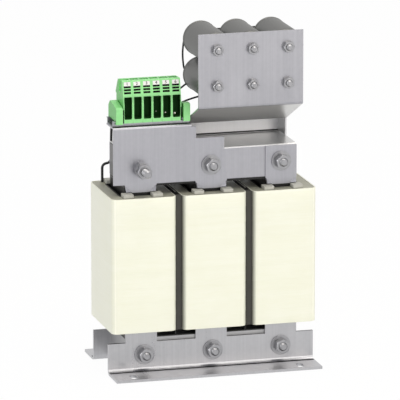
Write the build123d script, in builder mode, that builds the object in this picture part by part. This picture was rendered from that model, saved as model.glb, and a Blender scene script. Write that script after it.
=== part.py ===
from build123d import *
import os
from math import asin, atan2, cos, degrees, hypot, pi, radians, sin, tan

# Three-phase sine wave filter: an iron-core choke with three wound legs on two foot angles,
# six capacitor cans on a folded bracket above it, and a row of rail-mounted terminals.
# Frame: X along the three coils, Y from front to back, Z up, origin under the middle of the feet.

# Core
stack_depth = 72.0
leg_width = 41.5
yoke_height = 41.5
yoke_bottom = 4.0
window_height = 201.0
gap_sheet_thickness = 1.5

# Coils
coil_width = 85.6
coil_depth = 115.4
coil_spacing = 7.4
coil_gap_below = 12.0
coil_gap_above = 12.5
coil_corner_radius = 8.0
wrap_thickness = 1.5
rim_recess = 0.5
former_thickness = 1.5
former_corner_radius = 3.0
former_gap_x = 5.5
former_gap_y = 0.7

# Foot angles
foot_overhang = 22.95
foot_below_yoke_top = 4.9
foot_flange = 47.0
foot_thickness = 3.5
foot_bend_radius = 4.0
foot_slot_from_end = 25.7
foot_slot_from_edge = 14.0
foot_slot_width = 9.0
foot_slot_length = 18.0

# Upper clamp, terminal plate and straps, all folded or cut from sheet
clamp_thickness = 1.5
clamp_inset = 0.25
clamp_above_yoke_bottom = 1.9
sheet_bend_radius = 0.8
plate_thickness = 2.0
tab_width = 41.5
tab_corner = 9.0
tab_corner_angle = 38.0
strap_above_yoke = 0.5
plate_right_inset = 3.75
plate_step_inset = 0.75
plate_step_above_clamp = 14.0
shelf_above_clamp = 33.2
shelf_depth = 34.5
shelf_relief = 6.0

# Pads between the straps and the coils
pad_width = 13.0
pad_overhang = 5.0
pad_depth = 16.0
pad_height = 4.0
pad_corner_radius = 1.0

# Tie bolts, all M10
bolt_diameter = 10.0
bolt_clearance = 1.0
upper_bolt_above_yoke_bottom = 22.0
lower_bolt_above_yoke_bottom = 20.6
lower_bolt_pitch_less = 2.0
lower_bolt_shift = 2.0
bolt_tip = 3.2
nut_across_flats = 17.0
nut_thickness = 8.0
nut_clearance = 0.1
head_thickness = 6.5
washer_diameter = 26.0
washer_thickness = 2.0
washer_clearance = 0.5
spring_washer_diameter = 18.0
spring_washer_thickness = 2.2
earth_stud_length = 37.5
earth_washer_diameter = 20.0
earth_washer_thickness = 1.4
earth_washer_gap = 0.3
earth_washer_count = 3

# Capacitor bracket and capacitors
bracket_left_overhang = 4.25
bracket_right_inset = 0.55
bracket_bend_radius = 3.0
bracket_ledge_above_clamp = 24.7
bracket_ledge_depth = 33.5
bracket_slope_rise = 34.0
bracket_overhang = 29.5
bracket_top_inset = 1.8
cheek_clearance = 0.8
can_columns_count = 3
can_rows_count = 2
can_margin = 2.0
can_lift = 5.5
can_gap_x = 1.6
can_gap_z = 1.5
can_diameter = 45.0
can_length = 80.0
can_edge = 1.5
can_bead = 0.5
can_bead_width = 3.0
can_cap_recess = 1.0
can_cap_thickness = 3.0
can_cap_clearance = 0.1
can_cap_edge = 0.8
stud_diameter = 8.0
stud_tip = 4.0
stud_nut_across_flats = 13.0
stud_nut_thickness = 6.5
stud_washer_diameter = 16.0
stud_washer_thickness = 1.2
stud_washer_clearance = 0.4
blade_width = 6.3
blade_thickness = 0.8
blade_length = 8.0
blade_offset = 7.5

# Rail and terminals
rail_inset = 1.0
rail_setback = 3.5
rail_width = 35.0
rail_base_width = 27.0
rail_height = 7.5
rail_thickness = 1.0
rail_clearance = 0.1
terminal_count = 6
terminal_pitch = 12.7
terminal_gap = 0.1
terminal_setback = 1.5
terminal_depth = 35.4
terminal_lip = 4.3
terminal_lip_bottom = 31.5
terminal_lip_step = 1.5
terminal_back_lean = 11.8
terminal_back_drop = 1.0
terminal_shoulder = 21.0
terminal_lean = 7.0
terminal_height = 51.4
terminal_round = 2.0
terminal_foot_gap = 0.4
terminal_foot_lift = 1.5
window_width = 9.0
window_sill = 2.0
window_opening = 28.6
window_depth = 19.0
window_back_wall = 2.0
tunnel_height = 12.0
slot_width = 8.2
slot_height = 1.7
slot_depth = 5.0
slot_pitch = 3.8
slot_first = 15.2
slot_count = 3
tag_width = 8.8
tag_height = 5.2
tag_thickness = 1.0
tag_centre = 26.6
tag_recess = 0.6
tag_clearance = 0.15
pocket_front = 12.0
pocket_length = 11.0
pocket_depth = 16.0
bar_width = 6.5
bar_thickness = 1.5
bar_margin = 3.0
bar_clearance = 0.1
spring_width = 5.5
spring_thickness = 0.8
spring_bend_radius = 1.5
spring_reach = 9.0
spring_foot_gap = 2.0
spring_top_gap = 1.5
end_bracket_width = 8.8
end_bracket_height = 22.5
end_bracket_drop = 4.0
end_bracket_low_side = 5.5
end_bracket_shoulder = 7.0
end_bracket_crown = 9.0
end_bracket_back = 4.2
end_bracket_round = 2.5
stop_height = 19.0
stop_crown = 11.0
stop_back_drop = 10.0
end_gap_left = 0.7
end_gap_right = 2.8
rail_margin_left = 3.3
rail_margin_right = 0.4

# Leads
lead_diameter = 3.4
link_diameter = 2.4
lead_seat = 0.05
lead_end_inset = 7.0
lead_beside_pad = 0.3
start_layer_gap = 0.3
layer_pitch = 7.5
lead_beside = 2.1

# Worked out from the above
leg_pitch = coil_width + coil_spacing
yoke_length = 2 * leg_pitch + leg_width
lower_yoke_top = yoke_bottom + yoke_height
upper_yoke_bottom = lower_yoke_top + window_height
upper_yoke_top = upper_yoke_bottom + yoke_height
coil_bottom = lower_yoke_top + coil_gap_below
coil_top = upper_yoke_bottom - coil_gap_above
coil_height = coil_top - coil_bottom
leg_centres = [-leg_pitch, 0.0, leg_pitch]
former_x = leg_width / 2 + former_gap_x
former_y = stack_depth / 2 + former_gap_y
core_face = stack_depth / 2
clamp_face = core_face + clamp_thickness
sheet_face = clamp_face + plate_thickness
foot_face = core_face + foot_thickness
foot_edge = core_face + foot_flange
foot_length = yoke_length + 2 * foot_overhang
foot_height = lower_yoke_top - foot_below_yoke_top
foot_slot_pitch = foot_length - 2 * foot_slot_from_end
clamp_length = yoke_length - 2 * clamp_inset
clamp_bottom = upper_yoke_bottom + clamp_above_yoke_bottom
clamp_top = upper_yoke_top + sheet_bend_radius + clamp_thickness
tab_bottom = coil_top + pad_height
strap_top = upper_yoke_top + strap_above_yoke
shelf_top = clamp_top + shelf_above_clamp
shelf_bend_bottom = shelf_top - plate_thickness - 2 * sheet_bend_radius
terminal_row = terminal_count * terminal_pitch
end_space_left = end_bracket_width + end_gap_left + rail_margin_left
end_space_right = end_bracket_width + end_gap_right + rail_margin_right
rail_length = terminal_row + end_space_left + end_space_right
plate_step_height = clamp_top + plate_step_above_clamp
plate_right = tab_width / 2 - plate_right_inset
plate_step = plate_step_inset - tab_width / 2
shelf_right = plate_step - shelf_relief
plate_left = shelf_right - rail_length - 2 * rail_inset
upper_bolt_height = upper_yoke_bottom + upper_bolt_above_yoke_bottom
lower_bolt_height = yoke_bottom + lower_bolt_above_yoke_bottom
lower_bolt_pitch = leg_pitch - lower_bolt_pitch_less
lower_bolts = [lower_bolt_shift + k * lower_bolt_pitch for k in (-1, 0, 1)]
hole_radius = (bolt_diameter + bolt_clearance) / 2
washer_seat = max(sheet_face, foot_face)
spring_seat = washer_seat + washer_thickness
nut_seat = spring_seat + spring_washer_thickness
tip_face = nut_seat + nut_thickness + bolt_tip
bracket_left = -tab_width / 2 - bracket_left_overhang
bracket_right = leg_pitch + tab_width / 2 - bracket_right_inset
bracket_ledge_height = clamp_top + bracket_ledge_above_clamp
bracket_ledge_back = clamp_face + plate_thickness / 2
bracket_ledge_front = bracket_ledge_back - bracket_ledge_depth
bracket_plate_face = sheet_face + bracket_overhang
bracket_plate_bottom = bracket_ledge_height + bracket_slope_rise
can_radius = can_diameter / 2
can_pitch = can_diameter + can_gap_x
can_row_pitch = can_diameter + can_gap_z
can_front = plate_thickness - bracket_plate_face
can_back = can_front + can_length
can_cap_back = can_back - can_cap_recess + can_cap_thickness
can_first_x = bracket_left + can_margin + can_radius
can_first_z = bracket_plate_bottom + can_lift + can_radius
can_columns = [can_first_x + k * can_pitch for k in range(can_columns_count)]
can_rows = [can_first_z + k * can_row_pitch for k in reversed(range(can_rows_count))]
can_places = [(x, z) for z in can_rows for x in can_columns]
bracket_plate_top = can_rows[0] + can_radius - bracket_top_inset
rail_left = plate_left + rail_inset
rail_front = rail_setback - sheet_face
rail_centre = rail_front + rail_width / 2
rail_top = shelf_top + rail_height
terminal_base = rail_top + rail_clearance
terminal_left = rail_left + end_space_left
terminal_right = terminal_left + terminal_row
terminal_centres = [terminal_left + (k + 0.5) * terminal_pitch for k in range(terminal_count)]
terminal_front = terminal_setback - sheet_face
terminal_back = terminal_front + terminal_depth
lean_bottom = terminal_base + terminal_shoulder
terminal_top = terminal_base + terminal_height
window_bottom = terminal_base + window_sill

os.makedirs("parts", exist_ok=True)


def keep(piece, name):
    piece.part.label = name
    export_step(piece.part, f"parts/{name}.step")


def across(centres, height, radius):
    """Round holes that run from front to back at one height."""
    with BuildPart() as cutter:
        with BuildSketch(Plane.XZ):
            with Locations(*[(x, height) for x in centres]):
                Circle(radius)
        extrude(amount=2 * coil_depth, both=True)
    return cutter.part


def ring(outer, inner, places, face, thickness):
    """Flat rings whose front faces lie at the given Y, one at each X, Z place."""
    with BuildPart() as rings:
        with BuildSketch(Plane.XZ.offset(-face)):
            with Locations(*places):
                Circle(outer / 2)
                Circle(inner / 2, mode=Mode.SUBTRACT)
        extrude(amount=-thickness)
    return rings.part


def hexagon_nuts(flats, bore, places, face, thickness):
    """Hexagon nuts with chamfered corners on the outer side, which is the front."""
    with BuildPart() as nuts:
        with BuildSketch(Plane.XZ.offset(-face)):
            with Locations(*places):
                RegularPolygon(flats / 2, 6, major_radius=False)
        extrude(amount=-thickness)
        with BuildSketch(Plane.XZ.offset(-face)):
            with Locations(*places):
                Circle(flats / 2 + thickness * 0.75)
        extrude(amount=-thickness, taper=-30, mode=Mode.INTERSECT)
        with BuildSketch(Plane.XZ.offset(-face)):
            with Locations(*places):
                Circle(bore / 2)
        extrude(amount=-thickness, mode=Mode.SUBTRACT)
    return nuts.part


# Core: two yokes, three legs and the sheets of insulation that set the air gaps
with BuildPart() as lower_yoke:
    with BuildSketch(Plane.XY.offset(yoke_bottom)):
        Rectangle(yoke_length, stack_depth)
    extrude(amount=yoke_height)
    add(across(lower_bolts, lower_bolt_height, hole_radius), mode=Mode.SUBTRACT)
keep(lower_yoke, "lower_yoke")

with BuildPart() as upper_yoke:
    with BuildSketch(Plane.XY.offset(upper_yoke_bottom)):
        Rectangle(yoke_length, stack_depth)
    extrude(amount=yoke_height)
    add(across(leg_centres, upper_bolt_height, hole_radius), mode=Mode.SUBTRACT)
keep(upper_yoke, "upper_yoke")

for name, height in (
    ("lower_gap_sheet", lower_yoke_top),
    ("upper_gap_sheet", upper_yoke_bottom - gap_sheet_thickness),
):
    with BuildPart() as gap_sheet:
        with BuildSketch(Plane.XY.offset(height)):
            Rectangle(yoke_length, stack_depth)
        extrude(amount=gap_sheet_thickness)
    keep(gap_sheet, name)

coil_names = ["left", "middle", "right"]
for name, x in zip(coil_names, leg_centres):
    with BuildPart() as leg:
        with BuildSketch(Plane.XY.offset(lower_yoke_top + gap_sheet_thickness)):
            with Locations((x, 0)):
                Rectangle(leg_width, stack_depth)
        extrude(amount=window_height - 2 * gap_sheet_thickness)
    keep(leg, f"leg_{name}")

    with BuildPart() as former:
        with BuildSketch(Plane.XY.offset(coil_bottom)):
            with Locations((x, 0)):
                RectangleRounded(
                    2 * (former_x + former_thickness),
                    2 * (former_y + former_thickness),
                    former_corner_radius,
                )
                Rectangle(2 * former_x, 2 * former_y, mode=Mode.SUBTRACT)
        extrude(amount=coil_height)
    keep(former, f"coil_former_{name}")

    with BuildPart() as winding:
        with BuildSketch(Plane.XY.offset(coil_bottom)):
            with Locations((x, 0)):
                RectangleRounded(
                    coil_width - 2 * wrap_thickness,
                    coil_depth - 2 * wrap_thickness,
                    coil_corner_radius - wrap_thickness,
                )
                RectangleRounded(
                    2 * (former_x + former_thickness),
                    2 * (former_y + former_thickness),
                    former_corner_radius,
                    mode=Mode.SUBTRACT,
                )
        extrude(amount=coil_height - rim_recess)
    keep(winding, f"coil_winding_{name}")

    with BuildPart() as wrap:
        with BuildSketch(Plane.XY.offset(coil_bottom)):
            with Locations((x, 0)):
                RectangleRounded(coil_width, coil_depth, coil_corner_radius)
                RectangleRounded(
                    coil_width - 2 * wrap_thickness,
                    coil_depth - 2 * wrap_thickness,
                    coil_corner_radius - wrap_thickness,
                    mode=Mode.SUBTRACT,
                )
        extrude(amount=coil_height)
    keep(wrap, f"coil_wrap_{name}")

# Foot angles: folded sheet with three tabs under the coils and four slots for the mounting bolts
with BuildPart() as front_foot_angle:
    with BuildSketch(Plane.YZ) as foot_profile:
        with BuildLine():
            Polyline(
                (-core_face, foot_height),
                (-core_face, 0),
                (-foot_edge, 0),
                (-foot_edge, foot_thickness),
                (-foot_face, foot_thickness),
                (-foot_face, foot_height),
                close=True,
            )
        make_face()
        heel = foot_profile.vertices().sort_by_distance((-core_face, 0, 0))[0]
        throat = foot_profile.vertices().sort_by_distance((-foot_face, foot_thickness, 0))[0]
        fillet(heel, foot_bend_radius + foot_thickness)
        fillet(throat, foot_bend_radius)
    extrude(amount=foot_length / 2, both=True)
    with BuildSketch(Plane.XZ.offset(core_face)):
        with Locations(*[(x, (foot_height + coil_bottom) / 2) for x in leg_centres]):
            Rectangle(tab_width, coil_bottom - foot_height)
    extrude(amount=foot_thickness)
    with BuildSketch(Plane.XY):
        with Locations((0, -foot_edge + foot_slot_from_edge)):
            with GridLocations(foot_slot_pitch, 0, 2, 1):
                SlotOverall(foot_slot_length, foot_slot_width, rotation=90)
    extrude(amount=foot_thickness, mode=Mode.SUBTRACT)
    add(across(lower_bolts, lower_bolt_height, hole_radius), mode=Mode.SUBTRACT)
keep(front_foot_angle, "front_foot_angle")

with BuildPart() as rear_foot_angle:
    mirror(front_foot_angle.part, about=Plane.XZ)
keep(rear_foot_angle, "rear_foot_angle")

# Upper clamp: a channel folded over the upper yoke
with BuildPart() as upper_clamp:
    with BuildSketch(Plane.YZ) as clamp_profile:
        with Locations((0, (clamp_top + clamp_bottom) / 2)):
            Rectangle(2 * clamp_face, clamp_top - clamp_bottom)
        outer_corners = clamp_profile.vertices().group_by(Axis.Y)[-1]
        fillet(outer_corners, sheet_bend_radius + clamp_thickness)
    extrude(amount=clamp_length / 2, both=True)
    with BuildSketch(Plane.YZ) as clamp_inside:
        with Locations((0, (clamp_top - clamp_thickness + clamp_bottom) / 2)):
            Rectangle(2 * core_face, clamp_top - clamp_thickness - clamp_bottom)
        inner_corners = clamp_inside.vertices().group_by(Axis.Y)[-1]
        fillet(inner_corners, sheet_bend_radius)
    extrude(amount=clamp_length / 2, both=True, mode=Mode.SUBTRACT)
    add(across(leg_centres, upper_bolt_height, hole_radius), mode=Mode.SUBTRACT)
keep(upper_clamp, "upper_clamp")


def bent_corner(x, side):
    """Lower corner of a front tab at X, bent forward along a diagonal; side is -1 or 1."""
    fold = sin(radians(45)) * tab_corner
    hinge = Vector(x - side * tab_corner / 2, -clamp_face, tab_bottom + tab_corner / 2)
    along = Vector(side, 0, 1).normalized()
    down = Vector(side, 0, -1).normalized()
    turn = radians(tab_corner_angle)
    flap_down = down * cos(turn) + Vector(0, -1, 0) * sin(turn)
    flap_plane = Plane(origin=hinge, x_dir=along, z_dir=along.cross(flap_down))
    outward = 1 if flap_plane.z_dir.Y < 0 else -1
    with BuildPart() as corner:
        with BuildSketch(flap_plane):
            with BuildLine():
                Polyline((-fold, 0), (fold, 0), (0, fold), close=True)
            make_face()
        extrude(amount=outward * plate_thickness)
    return corner.part


def tabbed_sheet(outline, tabs, face):
    """Flat sheet in front of the clamp with tabs down to the coil pads, corners bent forward."""
    with BuildPart() as sheet:
        with BuildSketch(Plane.XZ.offset(face)):
            with BuildLine():
                Polyline(*outline, close=True)
            make_face()
            for x in tabs:
                with BuildLine():
                    Polyline(
                        (x - tab_width / 2, clamp_bottom + tab_corner),
                        (x - tab_width / 2, tab_bottom + tab_corner),
                        (x - tab_width / 2 + tab_corner, tab_bottom),
                        (x + tab_width / 2 - tab_corner, tab_bottom),
                        (x + tab_width / 2, tab_bottom + tab_corner),
                        (x + tab_width / 2, clamp_bottom + tab_corner),
                        close=True,
                    )
                make_face()
        extrude(amount=plate_thickness)
        for x in tabs:
            add(bent_corner(x - tab_width / 2, -1))
            add(bent_corner(x + tab_width / 2, 1))
        add(across(tabs, upper_bolt_height, hole_radius), mode=Mode.SUBTRACT)
    return sheet.part


def strap_outline(x):
    left, right = x - tab_width / 2, x + tab_width / 2
    return [(left, strap_top), (left, clamp_bottom), (right, clamp_bottom), (right, strap_top)]


# Terminal plate: covers two legs, steps up at the left and folds back into the rail shelf
plate_outline = [
    (plate_left, clamp_bottom),
    (plate_right, clamp_bottom),
    (plate_right, plate_step_height),
    (plate_step, plate_step_height),
    (plate_step, shelf_bend_bottom),
    (plate_left, shelf_bend_bottom),
]
with BuildPart() as terminal_plate:
    add(tabbed_sheet(plate_outline, leg_centres[:2], clamp_face))
    with BuildSketch(Plane.YZ.offset(plate_left)) as shelf_profile:
        with BuildLine():
            Polyline(
                (-sheet_face, shelf_bend_bottom),
                (-sheet_face, shelf_top),
                (-sheet_face + shelf_depth, shelf_top),
                (-sheet_face + shelf_depth, shelf_top - plate_thickness),
                (-clamp_face, shelf_top - plate_thickness),
                (-clamp_face, shelf_bend_bottom),
                close=True,
            )
        make_face()
        outside = shelf_profile.vertices().sort_by_distance((-sheet_face, shelf_top, 0))[0]
        fillet(outside, plate_thickness + sheet_bend_radius)
        inside_point = (-clamp_face, shelf_top - plate_thickness, 0)
        fillet(shelf_profile.vertices().sort_by_distance(inside_point)[0], sheet_bend_radius)
    extrude(amount=shelf_right - plate_left)
keep(terminal_plate, "terminal_plate")

with BuildPart() as front_clamp_strap:
    add(tabbed_sheet(strap_outline(leg_pitch), [leg_pitch], clamp_face))
keep(front_clamp_strap, "front_clamp_strap")

with BuildPart() as rear_strap_blank:
    add(tabbed_sheet(strap_outline(-leg_pitch), [-leg_pitch], clamp_face))
with BuildPart() as rear_clamp_strap:
    mirror(rear_strap_blank.part, about=Plane.XZ)
keep(rear_clamp_strap, "rear_clamp_strap")

# Capacitor bracket: rear wall behind the clamp, ledge over the yoke, slope and upright plate
plate_middle = -bracket_plate_face + plate_thickness / 2
bracket_line = [
    (bracket_ledge_back, clamp_bottom),
    (bracket_ledge_back, bracket_ledge_height),
    (bracket_ledge_front, bracket_ledge_height),
    (plate_middle, bracket_plate_bottom),
    (plate_middle, bracket_plate_top),
]
wall_outline = [
    (bracket_left, clamp_bottom),
    (bracket_right, clamp_bottom),
    (bracket_right, clamp_bottom + yoke_height),
    (bracket_left, clamp_bottom + yoke_height),
]
with BuildPart() as wall_blank:
    add(tabbed_sheet(wall_outline, leg_centres[1:], clamp_face))
with BuildPart() as capacitor_bracket:
    mirror(wall_blank.part, about=Plane.XZ)
    with BuildSketch(Plane.YZ.offset(bracket_left)):
        with BuildLine():
            FilletPolyline(*bracket_line, radius=bracket_bend_radius)
        trace(line_width=plate_thickness)
    extrude(amount=bracket_right - bracket_left)
    cheek_bottom = clamp_top + cheek_clearance
    cheek_top = bracket_ledge_height - plate_thickness / 2
    for x in (bracket_left, bracket_right - plate_thickness):
        with BuildSketch(Plane.YZ.offset(x)):
            with Locations(
                (bracket_ledge_back - bracket_ledge_depth / 2, (cheek_bottom + cheek_top) / 2)
            ):
                Rectangle(bracket_ledge_depth, cheek_top - cheek_bottom)
        extrude(amount=plate_thickness)
    with BuildSketch(Plane.XZ.offset(bracket_plate_face)):
        with Locations(*can_places):
            Circle((stud_diameter + bolt_clearance) / 2)
    extrude(amount=-2 * plate_thickness, mode=Mode.SUBTRACT)
    add(across(leg_centres[1:], upper_bolt_height, hole_radius), mode=Mode.SUBTRACT)
keep(capacitor_bracket, "capacitor_bracket")


def pads(tabs):
    """Pads on the front rims of the coils, one under each lower corner of a tab."""
    reach = pad_width / 2 - pad_overhang
    with BuildPart() as blocks:
        with BuildSketch(Plane.XY.offset(coil_top)):
            for x in tabs:
                for side in (-1, 1):
                    with Locations(
                        (x + side * (tab_width / 2 - reach), -former_y - pad_depth / 2)
                    ):
                                RectangleRounded(pad_width, pad_depth, pad_corner_radius)
        extrude(amount=tab_bottom - coil_top)
    return blocks.part


with BuildPart() as front_coil_pads:
    add(pads(leg_centres))
keep(front_coil_pads, "front_coil_pads")

with BuildPart() as rear_coil_pads:
    mirror(front_coil_pads.part, about=Plane.XZ)
keep(rear_coil_pads, "rear_coil_pads")


def tie_bolts(places, tip):
    """Bolts whose heads bear on the rear washers and whose threads end at the front."""
    head_face = washer_seat + washer_thickness
    with BuildPart() as bolts:
        with BuildSketch(Plane.XZ.offset(-head_face)):
            with Locations(*places):
                RegularPolygon(nut_across_flats / 2, 6, major_radius=False)
        extrude(amount=-head_thickness)
        with BuildSketch(Plane.XZ.offset(-head_face - head_thickness)):
            with Locations(*places):
                Circle(nut_across_flats / 2)
        extrude(amount=head_thickness, taper=-30, mode=Mode.INTERSECT)
        with BuildSketch(Plane.XZ.offset(-head_face)):
            with Locations(*places):
                Circle(bolt_diameter / 2)
        extrude(amount=head_face + tip)
        tips = bolts.faces().filter_by(Axis.Y).sort_by(Axis.Y)[: len(places)]
        chamfer(tips.edges(), bolt_diameter / 10)
    return bolts.part


upper_places = [(x, upper_bolt_height) for x in leg_centres[1:]]
lower_places = [(x, lower_bolt_height) for x in lower_bolts]
earth_place = (leg_centres[0], upper_bolt_height)

with BuildPart() as upper_tie_bolts:
    add(tie_bolts(upper_places, tip_face))
keep(upper_tie_bolts, "upper_tie_bolts")

with BuildPart() as lower_tie_bolts:
    add(tie_bolts(lower_places, tip_face))
keep(lower_tie_bolts, "lower_tie_bolts")

with BuildPart() as earth_bolt:
    add(tie_bolts([earth_place], sheet_face + earth_stud_length))
keep(earth_bolt, "earth_bolt")

washer_bore = bolt_diameter + washer_clearance
front_places = upper_places + lower_places
rear_places = front_places + [earth_place]
with BuildPart() as wide_washers:
    add(ring(washer_diameter, washer_bore, front_places, -spring_seat, washer_thickness))
    add(ring(washer_diameter, washer_bore, rear_places, washer_seat, washer_thickness))
keep(wide_washers, "wide_washers")

with BuildPart() as spring_washers:
    add(
        ring(
            spring_washer_diameter,
            washer_bore,
            front_places,
            -nut_seat,
            spring_washer_thickness,
        )
    )
keep(spring_washers, "spring_washers")

earth_stack = earth_washer_count * (earth_washer_thickness + earth_washer_gap) + earth_washer_gap
earth_nut_face = sheet_face + nut_thickness
second_nut_face = earth_nut_face + earth_stack + nut_thickness
nut_bore = bolt_diameter + nut_clearance
with BuildPart() as tie_nuts:
    add(
        hexagon_nuts(
            nut_across_flats, nut_bore, front_places, -nut_seat - nut_thickness, nut_thickness
        )
    )
    for face in (earth_nut_face, second_nut_face):
        add(hexagon_nuts(nut_across_flats, nut_bore, [earth_place], -face, nut_thickness))
keep(tie_nuts, "tie_nuts")

with BuildPart() as earth_washers:
    for k in range(earth_washer_count):
        front = earth_nut_face + (k + 1) * (earth_washer_thickness + earth_washer_gap)
        add(
            ring(
                earth_washer_diameter,
                washer_bore,
                [earth_place],
                -front,
                earth_washer_thickness,
            )
        )
keep(earth_washers, "earth_washers")

# Capacitors: drawn cans with a threaded stud at the front and a sealed cap at the back
stud_seat = bracket_plate_face + stud_washer_thickness
stud_end = stud_seat + stud_nut_thickness + stud_tip
for number, (x, z) in enumerate(can_places, start=1):
    with BuildPart() as can:
        with BuildSketch(Plane.XY.offset(z)) as can_profile:
            with BuildLine():
                side = x + can_radius
                Polyline(
                    (x, can_front),
                    (side - can_edge, can_front),
                    (side, can_front + can_edge),
                    (side, can_back - can_bead_width - can_bead),
                    (side + can_bead, can_back - can_bead_width),
                    (side + can_bead, can_back - can_bead),
                    (side, can_back),
                    (side - can_edge, can_back),
                    (side - can_edge, can_back - can_cap_recess),
                    (x, can_back - can_cap_recess),
                    close=True,
                )
            make_face()
        revolve(axis=Axis((x, 0, z), (0, 1, 0)))
        with BuildSketch(Plane.XZ.offset(-can_front)):
            with Locations((x, z)):
                Circle(stud_diameter / 2)
        extrude(amount=can_front + stud_end)
        stud_face = can.faces().sort_by(Axis.Y)[0]
        chamfer(stud_face.edges(), stud_diameter / 10)
    keep(can, f"capacitor_{number}")

with BuildPart() as capacitor_caps:
    with BuildSketch(Plane.XZ.offset(-can_back + can_cap_recess)):
        with Locations(*can_places):
            Circle(can_radius - can_edge - can_cap_clearance)
    extrude(amount=-can_cap_thickness)
    rear_edges = capacitor_caps.faces().filter_by(Axis.Y).sort_by(Axis.Y)[len(can_places) :]
    chamfer(rear_edges.edges(), can_cap_edge)
keep(capacitor_caps, "capacitor_caps")

blade_places = [(x, z + s * blade_offset) for x, z in can_places for s in (-1, 1)]
with BuildPart() as capacitor_blades:
    with BuildSketch(Plane.XZ.offset(-can_cap_back)):
        with Locations(*blade_places):
            Rectangle(blade_width, blade_thickness)
    extrude(amount=-blade_length)
keep(capacitor_blades, "capacitor_blades")

with BuildPart() as capacitor_washers:
    add(
        ring(
            stud_washer_diameter,
            stud_diameter + stud_washer_clearance,
            can_places,
            -stud_seat,
            stud_washer_thickness,
        )
    )
keep(capacitor_washers, "capacitor_washers")

with BuildPart() as capacitor_nuts:
    add(
        hexagon_nuts(
            stud_nut_across_flats,
            stud_diameter + nut_clearance,
            can_places,
            -stud_seat - stud_nut_thickness,
            stud_nut_thickness,
        )
    )
keep(capacitor_nuts, "capacitor_nuts")

# Rail: rolled top-hat section along the shelf
with BuildPart() as mounting_rail:
    with BuildSketch(Plane.YZ.offset(rail_left)):
        half, base, t = rail_width / 2, rail_base_width / 2, rail_thickness
        with Locations((rail_centre, shelf_top)):
            with BuildLine():
                Polyline(
                    (rail_centre - half, rail_top),
                    (rail_centre - base + t, rail_top),
                    (rail_centre - base + t, shelf_top + t),
                    (rail_centre + base - t, shelf_top + t),
                    (rail_centre + base - t, rail_top),
                    (rail_centre + half, rail_top),
                    (rail_centre + half, rail_top - t),
                    (rail_centre + base, rail_top - t),
                    (rail_centre + base, shelf_top),
                    (rail_centre - base, shelf_top),
                    (rail_centre - base, rail_top - t),
                    (rail_centre - half, rail_top - t),
                    close=True,
                )
            make_face()
    extrude(amount=rail_length)
keep(mounting_rail, "mounting_rail")

# Terminals: moulded housings, each with a tall entry in front and a wire tunnel behind it,
# three slots and a tag on the leaning face, and a side pocket that is open on top
lean_plane_up = Vector(0, terminal_lean, terminal_height - terminal_shoulder).normalized()
lean_normal = Vector(1, 0, 0).cross(lean_plane_up)


def lean_plane(x):
    """Plane on the leaning upper face of a terminal, with its origin at the foot of the lean."""
    return Plane(origin=(x, terminal_front, lean_bottom), x_dir=(1, 0, 0), z_dir=lean_normal)


foot_half = rail_base_width / 2 - rail_thickness - terminal_foot_gap
terminal_profile = [
    (terminal_front, terminal_base),
    (terminal_front, lean_bottom),
    (terminal_front + terminal_lean, terminal_top),
    (terminal_back + terminal_lip - terminal_back_lean, terminal_top - terminal_back_drop),
    (terminal_back + terminal_lip, terminal_base + terminal_lip_bottom),
    (terminal_back, terminal_base + terminal_lip_bottom - terminal_lip_step),
    (terminal_back, terminal_base),
    (rail_centre + foot_half, terminal_base),
    (rail_centre + foot_half, shelf_top + rail_thickness + terminal_foot_lift),
    (rail_centre - foot_half, shelf_top + rail_thickness + terminal_foot_lift),
    (rail_centre - foot_half, terminal_base),
]
pocket_middle = terminal_front + pocket_front + pocket_length / 2
tunnel_depth = terminal_depth - window_depth - window_back_wall
for number, x in enumerate(terminal_centres, start=1):
    with BuildPart() as terminal:
        with BuildSketch(Plane.YZ.offset(x)) as side_profile:
            with BuildLine():
                Polyline(*terminal_profile, close=True)
            make_face()
            crown = side_profile.vertices().sort_by(Axis.Y)[-2:]
            fillet(crown, terminal_round)
        extrude(amount=(terminal_pitch - terminal_gap) / 2, both=True)
        with BuildSketch(Plane.XZ.offset(-terminal_front)):
            with Locations((x, window_bottom + window_opening / 2)):
                Rectangle(window_width, window_opening)
        extrude(amount=-window_depth, mode=Mode.SUBTRACT)
        with BuildSketch(Plane.XZ.offset(-terminal_back)):
            with Locations((x, window_bottom + tunnel_height / 2)):
                Rectangle(window_width, tunnel_height)
        extrude(amount=tunnel_depth, mode=Mode.SUBTRACT)
        with BuildSketch(Plane.XZ.offset(-terminal_back)):
            with Locations((x, window_bottom + (bar_thickness + bar_clearance) / 2)):
                Rectangle(bar_width + 2 * bar_clearance, bar_thickness + bar_clearance)
        extrude(amount=terminal_depth - bar_margin, mode=Mode.SUBTRACT)
        with BuildSketch(lean_plane(x)):
            for k in range(slot_count):
                with Locations((0, slot_first + k * slot_pitch)):
                    Rectangle(slot_width, slot_height)
        extrude(amount=-slot_depth, mode=Mode.SUBTRACT)
        with BuildSketch(lean_plane(x)):
            with Locations((0, tag_centre)):
                Rectangle(tag_width + 2 * tag_clearance, tag_height + 2 * tag_clearance)
        extrude(amount=-tag_recess, mode=Mode.SUBTRACT)
        with BuildSketch(Plane.XY.offset(terminal_top)):
            with Locations((x - terminal_pitch / 2, pocket_middle)):
                Rectangle(terminal_pitch + window_width, pocket_length)
        extrude(amount=-pocket_depth, mode=Mode.SUBTRACT)
    keep(terminal, f"terminal_{number}")

with BuildPart() as marker_tags:
    for x in terminal_centres:
        with BuildSketch(lean_plane(x).offset(-tag_recess)):
            with Locations((0, tag_centre)):
                Rectangle(tag_width, tag_height)
        extrude(amount=tag_thickness)
keep(marker_tags, "marker_tags")

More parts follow.
